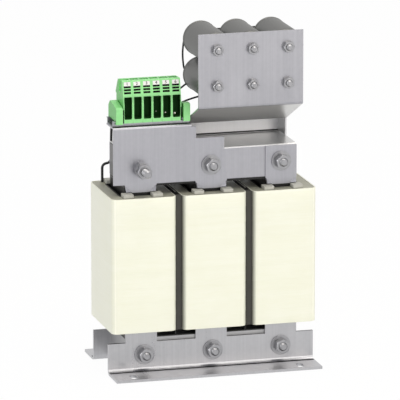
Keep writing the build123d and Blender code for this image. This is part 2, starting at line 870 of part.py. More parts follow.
bar_front = terminal_front + bar_margin
bar_back = terminal_back - bar_margin
bar_top = window_bottom + bar_thickness
with BuildPart() as contact_bars:
    with BuildSketch(Plane.XY.offset(window_bottom)):
        with Locations(*[(x, (bar_front + bar_back) / 2) for x in terminal_centres]):
            Rectangle(bar_width, bar_back - bar_front)
    extrude(amount=bar_thickness)
keep(contact_bars, "contact_bars")

spring_foot = terminal_front + window_depth - 2 * spring_thickness
spring_top = window_bottom + window_opening - spring_top_gap
spring_line = [
    (spring_foot, bar_top),
    (spring_foot, spring_top - spring_bend_radius),
    (spring_foot - spring_reach / 2, spring_top),
    (spring_foot - spring_reach, bar_top + spring_foot_gap),
]
with BuildPart() as clamp_springs:
    for x in terminal_centres:
        with BuildSketch(Plane.YZ.offset(x)):
            with BuildLine():
                FilletPolyline(*spring_line, radius=spring_bend_radius)
            trace(line_width=spring_thickness)
        extrude(amount=spring_width / 2, both=True)
keep(clamp_springs, "clamp_springs")

# End brackets: both grip the edges of the rail, the left one tall behind, the right one a low stop
bracket_top = rail_top + end_bracket_height
bracket_back = terminal_back + end_bracket_back
stop_top = rail_top + stop_height
hook_gap = rail_thickness + 2 * rail_clearance
hook_bottom = rail_top - end_bracket_drop
left_top = [
    (terminal_front, bracket_top - end_bracket_low_side),
    (bracket_back - end_bracket_crown, bracket_top),
    (bracket_back, bracket_top - end_bracket_shoulder),
]
right_top = [
    (terminal_front, stop_top),
    (terminal_front + stop_crown, stop_top),
    (bracket_back, stop_top - stop_back_drop),
]
for name, x, top_line in (
    ("end_bracket_left", terminal_left - end_gap_left - end_bracket_width, left_top),
    ("end_bracket_right", terminal_right + end_gap_right, right_top),
):
    with BuildPart() as end_bracket:
        with BuildSketch(Plane.YZ.offset(x)) as bracket_profile:
            with BuildLine():
                Polyline(
                    (terminal_front, hook_bottom), *top_line, (bracket_back, hook_bottom), close=True
                )
            make_face()
            shoulders = bracket_profile.vertices().sort_by(Axis.Y)[2:]
            fillet(shoulders, end_bracket_round)
        extrude(amount=end_bracket_width)
        with BuildSketch(Plane.YZ.offset(x)):
            with Locations((rail_centre, rail_top - rail_thickness / 2)):
                Rectangle(rail_width + 2 * rail_clearance, hook_gap)
            with Locations((rail_centre, (hook_bottom + rail_top) / 2)):
                Rectangle(rail_base_width + 2 * rail_clearance, rail_top - hook_bottom)
        extrude(amount=end_bracket_width, mode=Mode.SUBTRACT)
    keep(end_bracket, name)


def corner_radii(points):
    """Largest arcs that the runs allow: 0.45 of the shorter run over the tangent of half the turn."""
    radii = []
    for before, here, after in zip(points, points[1:], points[2:]):
        run_in = Vector(*here) - Vector(*before)
        run_out = Vector(*after) - Vector(*here)
        turn = radians(run_in.get_angle(run_out))
        radii.append(0.45 * min(run_in.length, run_out.length) / tan(turn / 2))
    return radii


def tube(points, diameter):
    """Insulated lead along straight runs joined by tangent arcs."""
    radii = corner_radii(points)
    with BuildPart() as lead:
        with BuildLine() as route:
            FilletPolyline(*points, radius=radii)
        path = route.wire()
        with BuildSketch(Plane(path @ 0, z_dir=path % 0)):
            Circle(diameter / 2)
        sweep(path=path)
    expected = pi * diameter**2 / 4 * path.length
    print(
        "lead",
        round(path.length, 1),
        "radii",
        [round(r, 1) for r in radii],
        "volume share",
        round(lead.part.volume / expected, 4),
    )
    return lead.part


# Coil leads: start leads run behind the finish leads, each coil's higher than the one before
lead_foot = coil_top - rim_recess
lead_level = bar_top + lead_diameter / 2 + lead_seat
lead_end = terminal_back - lead_end_inset
lead_turn = terminal_back + lead_end_inset
start_layer = former_y + pad_depth + start_layer_gap
finish_layer = start_layer - layer_pitch
lead_side = tab_width / 2 + pad_overhang + lead_diameter / 2 + lead_beside_pad
bolt_level = upper_bolt_height
yoke_level = upper_yoke_top

first_start = -leg_pitch - lead_side
middle_start = -lead_side
last_start = leg_pitch - lead_side
start_routes = [
    [
        (first_start, start_layer - 3.0, lead_foot),
        (first_start, start_layer - 3.0, bolt_level - 11.5),
        (terminal_centres[0] - 0.65, start_layer - 4.0, bolt_level - 9.5),
        (terminal_centres[0] - 0.65, start_layer - 6.0, yoke_level - 3.0),
        (terminal_centres[0] - 0.65, start_layer - 8.0, shelf_top - 14.5),
        (terminal_centres[0], lead_turn + 13.0, rail_top + 3.0),
        (terminal_centres[0], lead_turn - 1.0, lead_level),
        (terminal_centres[0], lead_end, lead_level),
    ],
    [
        (middle_start, start_layer, lead_foot),
        (middle_start, start_layer, bolt_level - 6.5),
        (middle_start - 13.2, start_layer, yoke_level - 6.0),
        (terminal_centres[1] + 18.15, start_layer, yoke_level - 1.0),
        (terminal_centres[1] + 0.15, start_layer - 3.0, shelf_top - 19.5),
        (terminal_centres[1], lead_turn + 17.0, rail_top + 1.0),
        (terminal_centres[1], lead_turn, lead_level),
        (terminal_centres[1], lead_end, lead_level),
    ],
    [
        (last_start, start_layer, lead_foot),
        (last_start, start_layer, bolt_level - 4.5),
        (last_start - 16.2, start_layer, yoke_level + 3.0),
        (middle_start + 23.8, start_layer, yoke_level + 8.0),
        (terminal_centres[2] + 23.45, start_layer, yoke_level + 9.0),
        (terminal_centres[2] + 0.45, start_layer - 3.0, shelf_top - 14.5),
        (terminal_centres[2], lead_turn + 17.0, rail_top + 2.0),
        (terminal_centres[2], lead_turn, lead_level),
        (terminal_centres[2], lead_end, lead_level),
    ],
]

first_finish = -leg_pitch + lead_side
middle_finish = lead_side
last_finish = leg_pitch + lead_side
finish_ends = [x - lead_beside for x in terminal_centres[3:]]
finish_routes = [
    [
        (first_finish, finish_layer, lead_foot),
        (first_finish, finish_layer, bolt_level - 6.5),
        (finish_ends[0] + 0.35, finish_layer, yoke_level + 8.0),
        (finish_ends[0] + 0.85, finish_layer - 5.5, shelf_top - 8.5),
        (finish_ends[0], lead_turn + 14.0, rail_top + 3.0),
        (finish_ends[0], lead_turn, lead_level),
        (finish_ends[0], lead_end, lead_level),
    ],
    [
        (middle_finish, finish_layer, lead_foot),
        (middle_finish, finish_layer, bolt_level - 6.5),
        (middle_finish - 18.8, finish_layer, yoke_level - 2.5),
        (finish_ends[1] + 22.15, finish_layer, yoke_level),
        (finish_ends[1] + 1.65, finish_layer - 2.5, shelf_top - 14.5),
        (finish_ends[1], lead_turn + 15.0, rail_top + 2.0),
        (finish_ends[1], lead_turn, lead_level),
        (finish_ends[1], lead_end, lead_level),
    ],
    [
        (last_finish, finish_layer, lead_foot),
        (last_finish, finish_layer, bolt_level - 4.5),
        (last_finish - 20.8, finish_layer, yoke_level + 3.0),
        (middle_finish + 21.2, finish_layer, yoke_level + 8.0),
        (middle_finish - 28.8, finish_layer, yoke_level + 9.0),
        (finish_ends[2] + 13.45, finish_layer, yoke_level + 12.0),
        (finish_ends[2] + 0.95, finish_layer - 5.5, shelf_top - 5.5),
        (finish_ends[2], lead_turn + 15.0, rail_top + 3.0),
        (finish_ends[2], lead_turn, lead_level),
        (finish_ends[2], lead_end, lead_level),
    ],
]

with BuildPart() as start_leads:
    for route_points in start_routes:
        add(tube(route_points, lead_diameter))
keep(start_leads, "start_leads")

with BuildPart() as finish_leads:
    for route_points in finish_routes:
        add(tube(route_points, lead_diameter))
keep(finish_leads, "finish_leads")

# Capacitor leads: three feeds from the last three terminals, joined to the lower blades
link_level = bar_top + link_diameter / 2 + lead_seat
blade_face = blade_thickness / 2 + lead_seat
link_lift = blade_face + link_diameter / 2
joint_y = can_cap_back + blade_length * 0.6
lower_blade = can_first_z - blade_offset
upper_blade = can_rows[0] + blade_offset
feed_starts = [x + lead_beside for x in terminal_centres[3:]]
ledge_level = bracket_ledge_height + plate_thickness / 2 + link_diameter / 2
can_bottom = can_first_z - can_radius
feed_routes = [
    [
        (feed_starts[0], lead_end, link_level),
        (feed_starts[0], lead_turn - 1.0, link_level),
        (feed_starts[0] + 8.65, lead_turn + 15.0, shelf_top + 2.5),
        (bracket_left - 5.0, lead_turn + 19.0, ledge_level + 1.8),
        (can_columns[0] + 25.5, lead_turn + 20.0, ledge_level + 1.4),
        (can_columns[2] - 17.7, lead_turn + 20.0, ledge_level + 2.3),
        (can_columns[2], joint_y + 5.0, can_bottom - 14.5),
        (can_columns[2], joint_y, can_bottom + 3.5),
        (can_columns[2], joint_y, lower_blade - blade_face),
    ],
    [
        (feed_starts[1], lead_end, link_level),
        (feed_starts[1], lead_turn - 1.0, link_level),
        (feed_starts[1] + 11.95, lead_turn + 7.0, can_bottom - 6.0),
        (bracket_left - 0.5, lead_turn + 7.5, can_bottom + 5.5),
        (can_columns[0] - 11.5, joint_y, lower_blade - link_lift - 1.0),
        (can_columns[0] + blade_width / 3, joint_y, lower_blade - link_lift),
    ],
    [
        (feed_starts[2], lead_end, link_level),
        (feed_starts[2], lead_turn - 2.0, link_level),
        (bracket_left + 3.0, lead_turn + 4.0, can_bottom - 11.2),
        (can_columns[0] - 2.5, lead_turn + 6.5, can_bottom - 6.9),
        (can_columns[1] - 16.1, joint_y - 1.8, can_bottom - 4.0),
        (can_columns[1], joint_y, can_bottom + 5.5),
        (can_columns[1], joint_y, lower_blade - blade_face),
    ],
]

with BuildPart() as capacitor_feed_leads:
    for route_points in feed_routes:
        add(tube(route_points, link_diameter))
keep(capacitor_feed_leads, "capacitor_feed_leads")

# Links: one over the top blades that loops down to the first can below, one down each column
loop_route = [
    (can_columns[2] + blade_width / 3, joint_y, upper_blade + link_lift),
    (can_columns[0] - 1.5, joint_y, upper_blade + link_lift),
    (can_columns[0] - 19.5, joint_y - 1.5, upper_blade - 6.0),
    (can_columns[0] - 22.3, joint_y - 3.0, can_rows[0] - 20.5),
    (can_columns[0] - 20.0, joint_y - 2.0, can_rows[1] + 6.0),
    (can_columns[0] - 11.5, joint_y, lower_blade + link_lift + 1.5),
    (can_columns[0] + blade_width / 3, joint_y, lower_blade + link_lift),
]
link_bottom = can_rows[1] + blade_offset + blade_face
link_top = can_rows[0] - blade_offset - blade_face
with BuildPart() as capacitor_link_leads:
    add(tube(loop_route, link_diameter))
    with BuildSketch(Plane.XY.offset(link_bottom)):
        with Locations(*[(x, joint_y) for x in can_columns]):
            Circle(link_diameter / 2)
    extrude(amount=link_top - link_bottom)
keep(capacitor_link_leads, "capacitor_link_leads")
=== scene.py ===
from math import atan2, cos, pi, radians, sin, tan

import bmesh
import bpy
from mathutils import Matrix, Vector


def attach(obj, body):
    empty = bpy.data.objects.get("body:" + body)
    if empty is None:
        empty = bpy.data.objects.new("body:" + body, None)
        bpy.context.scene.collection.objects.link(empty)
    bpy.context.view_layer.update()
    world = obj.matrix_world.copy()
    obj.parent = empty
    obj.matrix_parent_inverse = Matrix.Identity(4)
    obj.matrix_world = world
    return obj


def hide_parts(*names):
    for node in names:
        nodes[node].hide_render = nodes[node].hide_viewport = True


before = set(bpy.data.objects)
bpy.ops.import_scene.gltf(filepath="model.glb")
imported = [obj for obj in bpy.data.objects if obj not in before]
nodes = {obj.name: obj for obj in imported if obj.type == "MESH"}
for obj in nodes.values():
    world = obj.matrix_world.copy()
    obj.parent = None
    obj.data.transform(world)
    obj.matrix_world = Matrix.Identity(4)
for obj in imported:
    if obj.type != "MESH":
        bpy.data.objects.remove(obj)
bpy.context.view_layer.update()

scene = bpy.context.scene
MM = 0.001
SIDES = ("left", "middle", "right")

# Sizes in millimetres, as the source has them. Nuts and washers stand for their thickness
SHEET_FACE = 39.5
BOLT, BOLT_PITCH, BOLT_TIP, BOLT_HEAD, BOLT_FLATS = 10.0, 1.5, 54.9, 6.5, 17.0
NUT, WIDE_WASHER, SPRING_WASHER, EARTH_WASHER, EARTH_WASHER_GAP = 8.0, 2.0, 2.2, 1.4, 0.3
STUD, STUD_PITCH, STUD_TIP, STUD_NUT, STUD_WASHER, STUD_FLATS = 8.0, 1.25, 4.0, 6.5, 1.2, 13.0
WIDE_OUTSIDE, SPRING_OUTSIDE, EARTH_OUTSIDE, STUD_OUTSIDE = 26.0, 18.0, 20.0, 16.0
HEAD_SEAT = SHEET_FACE + WIDE_WASHER
SPRING_SEAT = HEAD_SEAT + SPRING_WASHER
UPPER_Z, LOWER_Z, LOWER_FIRST_X, LOWER_STEP = 268.5, 24.6, -89.0, 91.0
EARTH_X, EARTH_TIP = -93.0, 77.0
# Coils, cans and terminals
COIL_PITCH, COIL_BOTTOM, COIL_TOP, YOKE_TOP = 93.0, 57.5, 234.0, 45.5
COIL_HALF_X, COIL_HALF_Y, COIL_CORNER, WRAP = 42.8, 57.7, 8.0, 1.5
CAN_FIRST_X, CAN_FIRST_Z, CAN_STEP_X, CAN_STEP_Z = -0.5, 377.0, 46.6, 46.5
CAN_FRONT, CAN_BACK, CAN_RADIUS, PLATE_FRONT = -67.0, 13.0, 22.5, -69.0
TERMINAL_FIRST_X, TERMINAL_STEP, TERMINAL_FRONT = -108.85, 12.7, -38.0
LEAN_BOTTOM, LEAN_RISE, LEAN_RUN = 352.1, 30.4, 7.0
WINDOW_BOTTOM, WINDOW_HEIGHT, WINDOW_WIDTH = 333.1, 28.6, 9.0
SLOT_FIRST, SLOT_STEP, TAG_CENTRE = 15.2, 3.8, 26.6
# Feet and shelf
FOOT_TOP, FOOT_END, FLANGE_TOP, FOOT_THROAT, SHELF_TOP = 40.6, 136.7, 3.5, 4.0, 323.5


# Camera, fitted to the photograph
def look_from(azimuth, elevation, distance, target, lens):
    """Camera on a target; angles in degrees, lengths in metres and the lens in millimetres."""
    a, e = radians(azimuth), radians(elevation)
    away = Vector((sin(a) * cos(e), -cos(a) * cos(e), sin(e)))
    data = bpy.data.cameras.new("photo_camera")
    data.sensor_width = 36.0
    data.lens = lens
    data.clip_start = 0.5
    data.clip_end = 50.0
    camera = bpy.data.objects.new("photo_camera", data)
    camera.location = target + away * distance
    camera.rotation_euler = (-away).to_track_quat("-Z", "Y").to_euler()
    scene.collection.objects.link(camera)
    scene.camera = camera


look_from(-15.539, 13.142, 6.6456, Vector((-0.0039, 0.0, 0.2135)), 464.96)


# Colours and nodes
def tone(code):
    """Linear colour of an sRGB hex code."""
    values = [int(code[k : k + 2], 16) / 255 for k in (1, 3, 5)]
    return [v / 12.92 if v <= 0.04045 else ((v + 0.055) / 1.055) ** 2.4 for v in values] + [1.0]


def put(tree, kind, inputs=None, **settings):
    """Adds a node with its settings, and its inputs as values or links."""
    made = tree.nodes.new(kind)
    for name, value in settings.items():
        setattr(made, name, value)
    for key, value in (inputs or {}).items():
        if isinstance(value, bpy.types.NodeSocket):
            tree.links.new(value, made.inputs[key])
        else:
            made.inputs[key].default_value = value
    return made


# How far noise strays from its middle, apart from rare peaks
NOISE_REACH = 0.28


def surface(
    name, dark, light, gloss, grains, metallic=0.0, relief=(0.1, 0.03), extra=None, stain=None, shine=0.5
):
    """Material whose colour, gloss and relief follow layers of grain.

    Gloss is the least and the most roughness. Each grain is a size in millimetres along X, Y and
    Z, and a weight. Relief is the bump's strength and its height in millimetres, extra a pattern
    of its own and its weight, stain where another colour lies and that colour, and shine the
    strength of the mirror layer.
    """
    material = bpy.data.materials.new(name)
    material.use_nodes = True
    tree = material.node_tree
    shader = tree.nodes["Principled BSDF"]
    shader.inputs["Metallic"].default_value = metallic
    shader.inputs["Specular IOR Level"].default_value = shine
    place = put(tree, "ShaderNodeTexCoord").outputs["Object"]
    layers = []
    for *sizes, weight in grains:
        scale = [1 / (size * MM) for size in sizes]
        moved = put(tree, "ShaderNodeMapping", {"Vector": place, "Scale": scale}).outputs[0]
        inputs = {"Vector": moved, "Scale": 1.0, "Detail": 3.0}
        layers.append((put(tree, "ShaderNodeTexNoise", inputs).outputs["Fac"], weight))
    if extra:
        layers.append((extra[0](tree, place), extra[1]))
    total = 0.0
    for value, weight in layers:
        inputs = {0: value, 1: weight, 2: total}
        total = put(tree, "ShaderNodeMath", inputs, operation="MULTIPLY_ADD").outputs[0]
    middle = sum(weight for value, weight in layers) / 2
    reach = NOISE_REACH * sum(weight**2 for value, weight in layers) ** 0.5
    ends = {"Value": total, "From Min": middle - reach, "From Max": middle + reach}
    share = put(tree, "ShaderNodeMapRange", ends).outputs["Result"]
    inputs = {0: share, 6: tone(dark), 7: tone(light)}
    colour = put(tree, "ShaderNodeMix", inputs, data_type="RGBA").outputs[2]
    if stain:
        inputs = {0: stain[0](tree, place), 6: colour, 7: tone(stain[1])}
        colour = put(tree, "ShaderNodeMix", inputs, data_type="RGBA").outputs[2]
    tree.links.new(colour, shader.inputs["Base Color"])
    ends.update({"To Min": gloss[0], "To Max": gloss[1]})
    roughness = put(tree, "ShaderNodeMapRange", ends).outputs["Result"]
    tree.links.new(roughness, shader.inputs["Roughness"])
    inputs = {"Height": total, "Strength": relief[0], "Distance": relief[1] * MM}
    tree.links.new(put(tree, "ShaderNodeBump", inputs).outputs[0], shader.inputs["Normal"])
    return material


def facing(tree, normal="True Normal"):
    """The way that a face is turned, along X, Y and Z."""
    way = put(tree, "ShaderNodeNewGeometry").outputs[normal]
    return put(tree, "ShaderNodeSeparateXYZ", {"Vector": way}).outputs


def stacked_sheets(tree, place):
    """Core sheets half a millimetre thick, one behind another."""
    depth = put(tree, "ShaderNodeSeparateXYZ", {"Vector": place}).outputs["Y"]
    waves = put(tree, "ShaderNodeMath", {0: depth, 1: 2 * pi / (0.5 * MM)}, operation="MULTIPLY")
    return put(tree, "ShaderNodeMath", {0: waves.outputs[0]}, operation="SINE").outputs[0]


def winding_layers(tree, place):
    """Layers of a coil's winding, a millimetre each, round every leg of the core."""
    # How much farther a middle layer reaches along Y than along X
    longer = 11.9 * MM
    parts = put(tree, "ShaderNodeSeparateXYZ", {"Vector": place}).outputs
    half = COIL_PITCH / 2 * MM
    fold = put(tree, "ShaderNodeMath", {0: parts["X"], 1: half, 2: -half}, operation="WRAP")
    aside = put(tree, "ShaderNodeMath", {0: fold.outputs[0]}, operation="ABSOLUTE").outputs[0]
    behind = put(tree, "ShaderNodeMath", {0: parts["Y"]}, operation="ABSOLUTE").outputs[0]
    behind = put(tree, "ShaderNodeMath", {0: behind, 1: -longer}, operation="ADD").outputs[0]
    level = put(tree, "ShaderNodeMath", {0: aside, 1: behind}, operation="MAXIMUM").outputs[0]
    waves = put(tree, "ShaderNodeMath", {0: level, 1: 2 * pi / MM}, operation="MULTIPLY")
    return put(tree, "ShaderNodeMath", {0: waves.outputs[0]}, operation="SINE").outputs[0]


# Mask of the painted shade on the feet's top edge
def painted_top_edge_shade(tree, place):
    """One on the upward face of a foot's top edge."""
    height = put(tree, "ShaderNodeSeparateXYZ", {"Vector": place}).outputs["Z"]
    inputs = {0: height, 1: (FOOT_TOP - 0.3) * MM}
    high = put(tree, "ShaderNodeMath", inputs, operation="GREATER_THAN").outputs[0]
    inputs = {0: facing(tree)["Z"], 1: 0.9}
    flat = put(tree, "ShaderNodeMath", inputs, operation="GREATER_THAN").outputs[0]
    return put(tree, "ShaderNodeMath", {0: high, 1: flat}, operation="MULTIPLY").outputs[0]


# Mask of the paler painted shade on the upper yoke's ends
def upper_yoke_ends(tree, place):
    """One on the end faces of the upper yoke."""
    height = put(tree, "ShaderNodeSeparateXYZ", {"Vector": place}).outputs["Z"]
    inputs = {0: height, 1: (COIL_TOP + 10.0) * MM}
    high = put(tree, "ShaderNodeMath", inputs, operation="GREATER_THAN").outputs[0]
    aside = put(tree, "ShaderNodeMath", {0: facing(tree)["X"]}, operation="ABSOLUTE").outputs[0]
    end = put(tree, "ShaderNodeMath", {0: aside, 1: 0.9}, operation="GREATER_THAN").outputs[0]
    return put(tree, "ShaderNodeMath", {0: high, 1: end}, operation="MULTIPLY").outputs[0]


# Mask of the painted bounce light inside the folds
def painted_bounce_light(tree, place):
    """A share on the faces inside the folds, smaller where they face front.

    A face that looks to the front counts from Y = -36 on, and any other from Y = -66 on.
    """
    depth = put(tree, "ShaderNodeSeparateXYZ", {"Vector": place}).outputs["Y"]
    turned = facing(tree)
    away = {"Value": turned["Y"], "From Min": -1.0, "From Max": -0.8}
    inputs = {**away, "To Min": -36.0 * MM, "To Max": -66.0 * MM}
    edge = put(tree, "ShaderNodeMapRange", inputs).outputs["Result"]
    behind = put(tree, "ShaderNodeMath", {0: depth, 1: edge}, operation="GREATER_THAN").outputs[0]
    share = put(tree, "ShaderNodeMapRange", {**away, "To Min": 0.3, "To Max": 0.55}).outputs["Result"]
    inside = put(tree, "ShaderNodeMath", {0: behind, 1: share}, operation="MULTIPLY").outputs[0]
    for axis in ("X", "Y"):
        inward = put(tree, "ShaderNodeMath", {0: turned[axis], 1: 0.5}, operation="LESS_THAN").outputs[0]
        inside = put(tree, "ShaderNodeMath", {0: inside, 1: inward}, operation="MULTIPLY").outputs[0]
    return inside


# Mask of the painted shade on the coils' sides in the gaps
def painted_gap_shade(tree, place):
    """Rises from the coils' front corners to one on their sides in the two gaps."""
    aside = facing(tree, "Normal")["X"]
    inputs = {"Value": aside, "From Min": -0.35, "From Max": -0.95}
    leftward = put(tree, "ShaderNodeMapRange", inputs).outputs["Result"]
    inputs = {"Value": aside, "From Min": 0.9, "From Max": 1.0}
    rightward = put(tree, "ShaderNodeMapRange", inputs).outputs["Result"]
    either = put(tree, "ShaderNodeMath", {0: leftward, 1: rightward}, operation="MAXIMUM").outputs[0]
    across = put(tree, "ShaderNodeSeparateXYZ", {"Vector": place}).outputs["X"]
    inward = put(tree, "ShaderNodeMath", {0: across}, operation="ABSOLUTE").outputs[0]
    inputs = {0: inward, 1: COIL_PITCH * MM}
    inward = put(tree, "ShaderNodeMath", inputs, operation="LESS_THAN").outputs[0]
    return put(tree, "ShaderNodeMath", {0: either, 1: inward}, operation="MULTIPLY").outputs[0]


# Mask of the painted shade on the green parts' flanks
def painted_flank_shade(tree, place):
    """One on the faces turned to either side."""
    aside = put(tree, "ShaderNodeMath", {0: facing(tree)["X"]}, operation="ABSOLUTE").outputs[0]
    inputs = {"Value": aside, "From Min": 0.5, "From Max": 0.9}
    return put(tree, "ShaderNodeMapRange", inputs).outputs["Result"]


# Rolled steel sheet with a zinc coat: satin grey, with faint upright rolling lines, soft clouds, and
# zinc flowers 5 mm across, coarser than the real ones so that they show
rolled = [(2.4, 30, 140, 1.0), (75, 75, 75, 1.0), (5, 5, 5, 0.5)]
ZINC = surface("rolled_galvanised_steel", "#A1A1A7", "#AEAEB4", (0.28, 0.38), rolled, 0.85, (0.03, 0.02))
# The same sheet folded, with a duller coat, and painted bounce light that makes the faces inside the folds
# paler
FOLDED_ZINC = surface(
    "folded_galvanised_steel", "#A3A3A9", "#B0B0B6", (0.28, 0.38), rolled, 0.7, (0.03, 0.02),
    stain=(painted_bounce_light, "#ECECE8"),
)
# The same sheet on the feet, drawn a little brighter as painted light, with painted shade on the upward
# face of its top edge
FOOT_ZINC = surface(
    "foot_galvanised_steel_painted_shade", "#AEAEB1", "#BCBCBF", (0.26, 0.36), rolled, 0.85, (0.03, 0.02),
    stain=(painted_top_edge_shade, "#202022"),
)
# Turned or pressed steel with electroplated zinc: the sheet's grey with fine tool marks
tooled = [(1.25, 0.45, 1.25, 0.4), (6.5, 6.5, 6.5, 1.0)]
FASTENER = surface("plated_zinc_steel", "#98989B", "#A8A8AB", (0.26, 0.36), tooled, 0.9)
# Stack of electrical sheets: black round the coils as painted shade, a paler painted shade of grey on the
# upper yoke's end faces, and clear varnish on the lower yoke
stacked = [(16, 16, 16, 1.0)]
SHADED_CORE = surface(
    "laminations_in_painted_shade", "#181817", "#262624", (0.4, 0.55), stacked, 0.3, (0.2, 0.08),
    extra=(stacked_sheets, 0.2), stain=(upper_yoke_ends, "#6A6A6A"),
)
CORE = surface(
    "clear_varnished_laminations", "#A6A6A7", "#B8B8B9", (0.38, 0.5), stacked, 0.85, (0.2, 0.08),
    extra=(stacked_sheets, 0.2),
)
# Glass tape soaked in clear resin: cream, half gloss, with a weave a millimetre high in its turns,
# and dark grey painted shade on the sides in the gaps between the coils
taped = [(18, 18, 1.1, 1.0), (330, 330, 8, 1.0), (45, 45, 45, 1.0)]
TAPE = surface(
    "resin_soaked_glass_tape", "#F1F3E0", "#F6F8EA", (0.28, 0.38), taped, 0.0, (0.02, 0.02),
    stain=(painted_gap_shade, "#5A5A54"),
)
# The same tape with a painted highlight, almost white, on the outer front corners
CORNER_HIGHLIGHT_TAPE = surface(
    "tape_with_painted_corner_highlight", "#FCFDEC", "#FFFFF2", (0.28, 0.38), taped, 0.0, (0.02, 0.02)
)
# Painted shade in the gaps between the coils: dull dark grey with long soft clouds
cast = [(9, 9, 30, 1.0)]
GAP_SHADE = surface(
    "grey_painted_gap_shade", "#434340", "#4D4C49", (0.7, 0.8), cast, 0.0, (0.06, 0.05), shine=0.2
)
# Edge of the winding under grey-green resin: rings of its layers, blurred by drips
dripped = [(11, 11, 11, 1.0)]
WINDING = surface(
    "resin_soaked_winding_edge", "#9A9A8C", "#B6B6A6", (0.4, 0.6), dripped, 0.0, (0.3, 0.15),
    extra=(winding_layers, 0.18),
)
# Pressed board, pale for pads and black for the coils' tubes: dull and mottled, with short fibres
pale_fibres = [(14, 14, 14, 1.0), (1.4, 1.4, 1.4, 0.4)]
BOARD = surface("pressed_insulating_board", "#BCBCB4", "#CCCCC4", (0.55, 0.7), pale_fibres)
black_fibres = [(11, 11, 11, 1.0), (1.1, 1.1, 1.1, 0.4)]
FORMER = surface("pressed_black_board", "#121211", "#1E1E1C", (0.5, 0.65), black_fibres)
# Injection-moulded polyamide: even colour, soft gloss and a fine eroded grain. The green one has
# painted shade on its flanks, a deeper green there
moulded = [(11, 11, 11, 1.0), (1.1, 1.1, 1.1, 0.3)]
GREEN = surface(
    "moulded_green_polyamide", "#8CDB8B", "#9BE79A", (0.32, 0.44), moulded, 0.0, (0.08, 0.04),
    stain=(painted_flank_shade, "#62BC5E"),
)
TAG = surface("moulded_white_polyamide", "#EAEAE8", "#F4F4F2", (0.45, 0.55), moulded, 0.0, (0.08, 0.04))
# Painted shade inside windows and slots, as very dark green and black polyamide, dull, with upright streaks
streaked = [(1.6, 9, 60, 1.0)]
WINDOW_SHADE = surface(
    "dark_green_painted_shade", "#082608", "#0E3A0E", (0.6, 0.75), streaked, 0.0, (0.1, 0.05), shine=0.1
)
BLACK_SHADE = surface(
    "black_painted_shade", "#0A0E0A", "#121812", (0.6, 0.75), streaked, 0.0, (0.1, 0.05), shine=0.1
)
# Painted shade and dark reflection along the folds: dull and nearly black
FOLD_SHADE = surface("painted_fold_shade", "#161616", "#242424", (0.85, 0.95), [(7, 7, 7, 1.0)], shine=0.05)
# Printed ink: flat, dark grey and a little uneven
INK = surface("printed_grey_ink", "#303034", "#3C3C40", (0.6, 0.7), [(0.7, 0.7, 0.7, 1.0)])
# Extruded lead jacket: black with a soft gloss
extruded = [(20, 20, 20, 1.0), (2, 2, 2, 0.4)]
JACKET = surface("extruded_black_jacket", "#101011", "#1B1B1C", (0.35, 0.5), extruded)
# Deep-drawn aluminium: dull grey with faint drawing lines along the can
drawn = [(1.4, 70, 1.4, 1.0), (33, 33, 33, 1.0)]
CAN = surface("drawn_aluminium", "#6B6B6A", "#777775", (0.46, 0.56), drawn, 1.0)
# Cast resin in the cans' backs: black and half gloss, a little cloudy
poured = [(33, 33, 33, 1.0), (3.3, 3.3, 3.3, 0.4)]
RESIN = surface("cast_black_resin", "#1C1C1C", "#2A2A2A", (0.3, 0.45), poured)
# Brass dipped in tin: warm pale grey with fine tool marks
TINNED = surface("tinned_brass", "#C4C0B4", "#D8D4C8", (0.24, 0.36), tooled, 1.0)
# Rolled spring steel: smooth cool grey
SPRING = surface("rolled_spring_steel", "#A4A4A8", "#B8B8BC", (0.2, 0.32), tooled, 1.0)

for material, names in (
    (ZINC, "terminal_plate front_clamp_strap rear_clamp_strap mounting_rail"),
    (FOLDED_ZINC, "upper_clamp capacitor_bracket"),
    (FOOT_ZINC, "front_foot_angle rear_foot_angle"),
    (SHADED_CORE, "upper_yoke leg_left leg_middle leg_right"),
    (CORE, "lower_yoke"),
    (BOARD, "front_coil_pads rear_coil_pads"),
    (FORMER, "lower_gap_sheet upper_gap_sheet " + " ".join(f"coil_former_{side}" for side in SIDES)),
    (WINDING, " ".join(f"coil_winding_{side}" for side in SIDES)),
    (TAPE, " ".join(f"coil_wrap_{side}" for side in SIDES)),
    (GREEN, " ".join(f"terminal_{k}" for k in range(1, 7)) + " end_bracket_left end_bracket_right"),
    (TAG, "marker_tags"),
    (CAN, " ".join(f"capacitor_{k}" for k in range(1, 7))),
    (RESIN, "capacitor_caps"),
    (TINNED, "contact_bars capacitor_blades"),
    (SPRING, "clamp_springs"),
    (FASTENER, "upper_tie_bolts lower_tie_bolts earth_bolt wide_washers spring_washers tie_nuts"),
    (FASTENER, "earth_washers capacitor_washers capacitor_nuts"),
    (JACKET, "start_leads finish_leads capacitor_feed_leads capacitor_link_leads"),
):
    for name in names.split():
        nodes[name].data.materials.clear()
        nodes[name].data.materials.append(material)


# Meshes are drawn in millimetres, round parts about the Y axis, and scaled to metres when done
def drawn_mesh(name, builder, angle=22.0):
    """Smooth-shaded mesh that keeps edges above the angle sharp."""
    bmesh.ops.remove_doubles(builder, verts=builder.verts, dist=0.0001)
    bmesh.ops.recalc_face_normals(builder, faces=builder.faces)
    bmesh.ops.scale(builder, vec=(MM, MM, MM), verts=builder.verts)
    mesh = bpy.data.meshes.new(name)
    builder.to_mesh(mesh)
    builder.free()
    for polygon in mesh.polygons:
        polygon.use_smooth = True
    mesh.set_sharp_from_angle(angle=radians(angle))
    return mesh


def linked(name, mesh):
    """New object in the scene."""
    made = bpy.data.objects.new(name, mesh)
    scene.collection.objects.link(made)
    return made


def plain_mesh(made):
    """Plain mesh of an object as its modifiers leave it; the object goes."""
    depsgraph = bpy.context.evaluated_depsgraph_get()
    mesh = bpy.data.meshes.new_from_object(made.evaluated_get(depsgraph))
    made.modifiers.clear()
    bpy.data.objects.remove(made)
    return mesh


def stand_for(piece, slot, *replaced):
    """Hands a finished piece over, with the CAD nodes that it replaces."""
    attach(piece, "root")
    if replaced:
        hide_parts(*replaced)


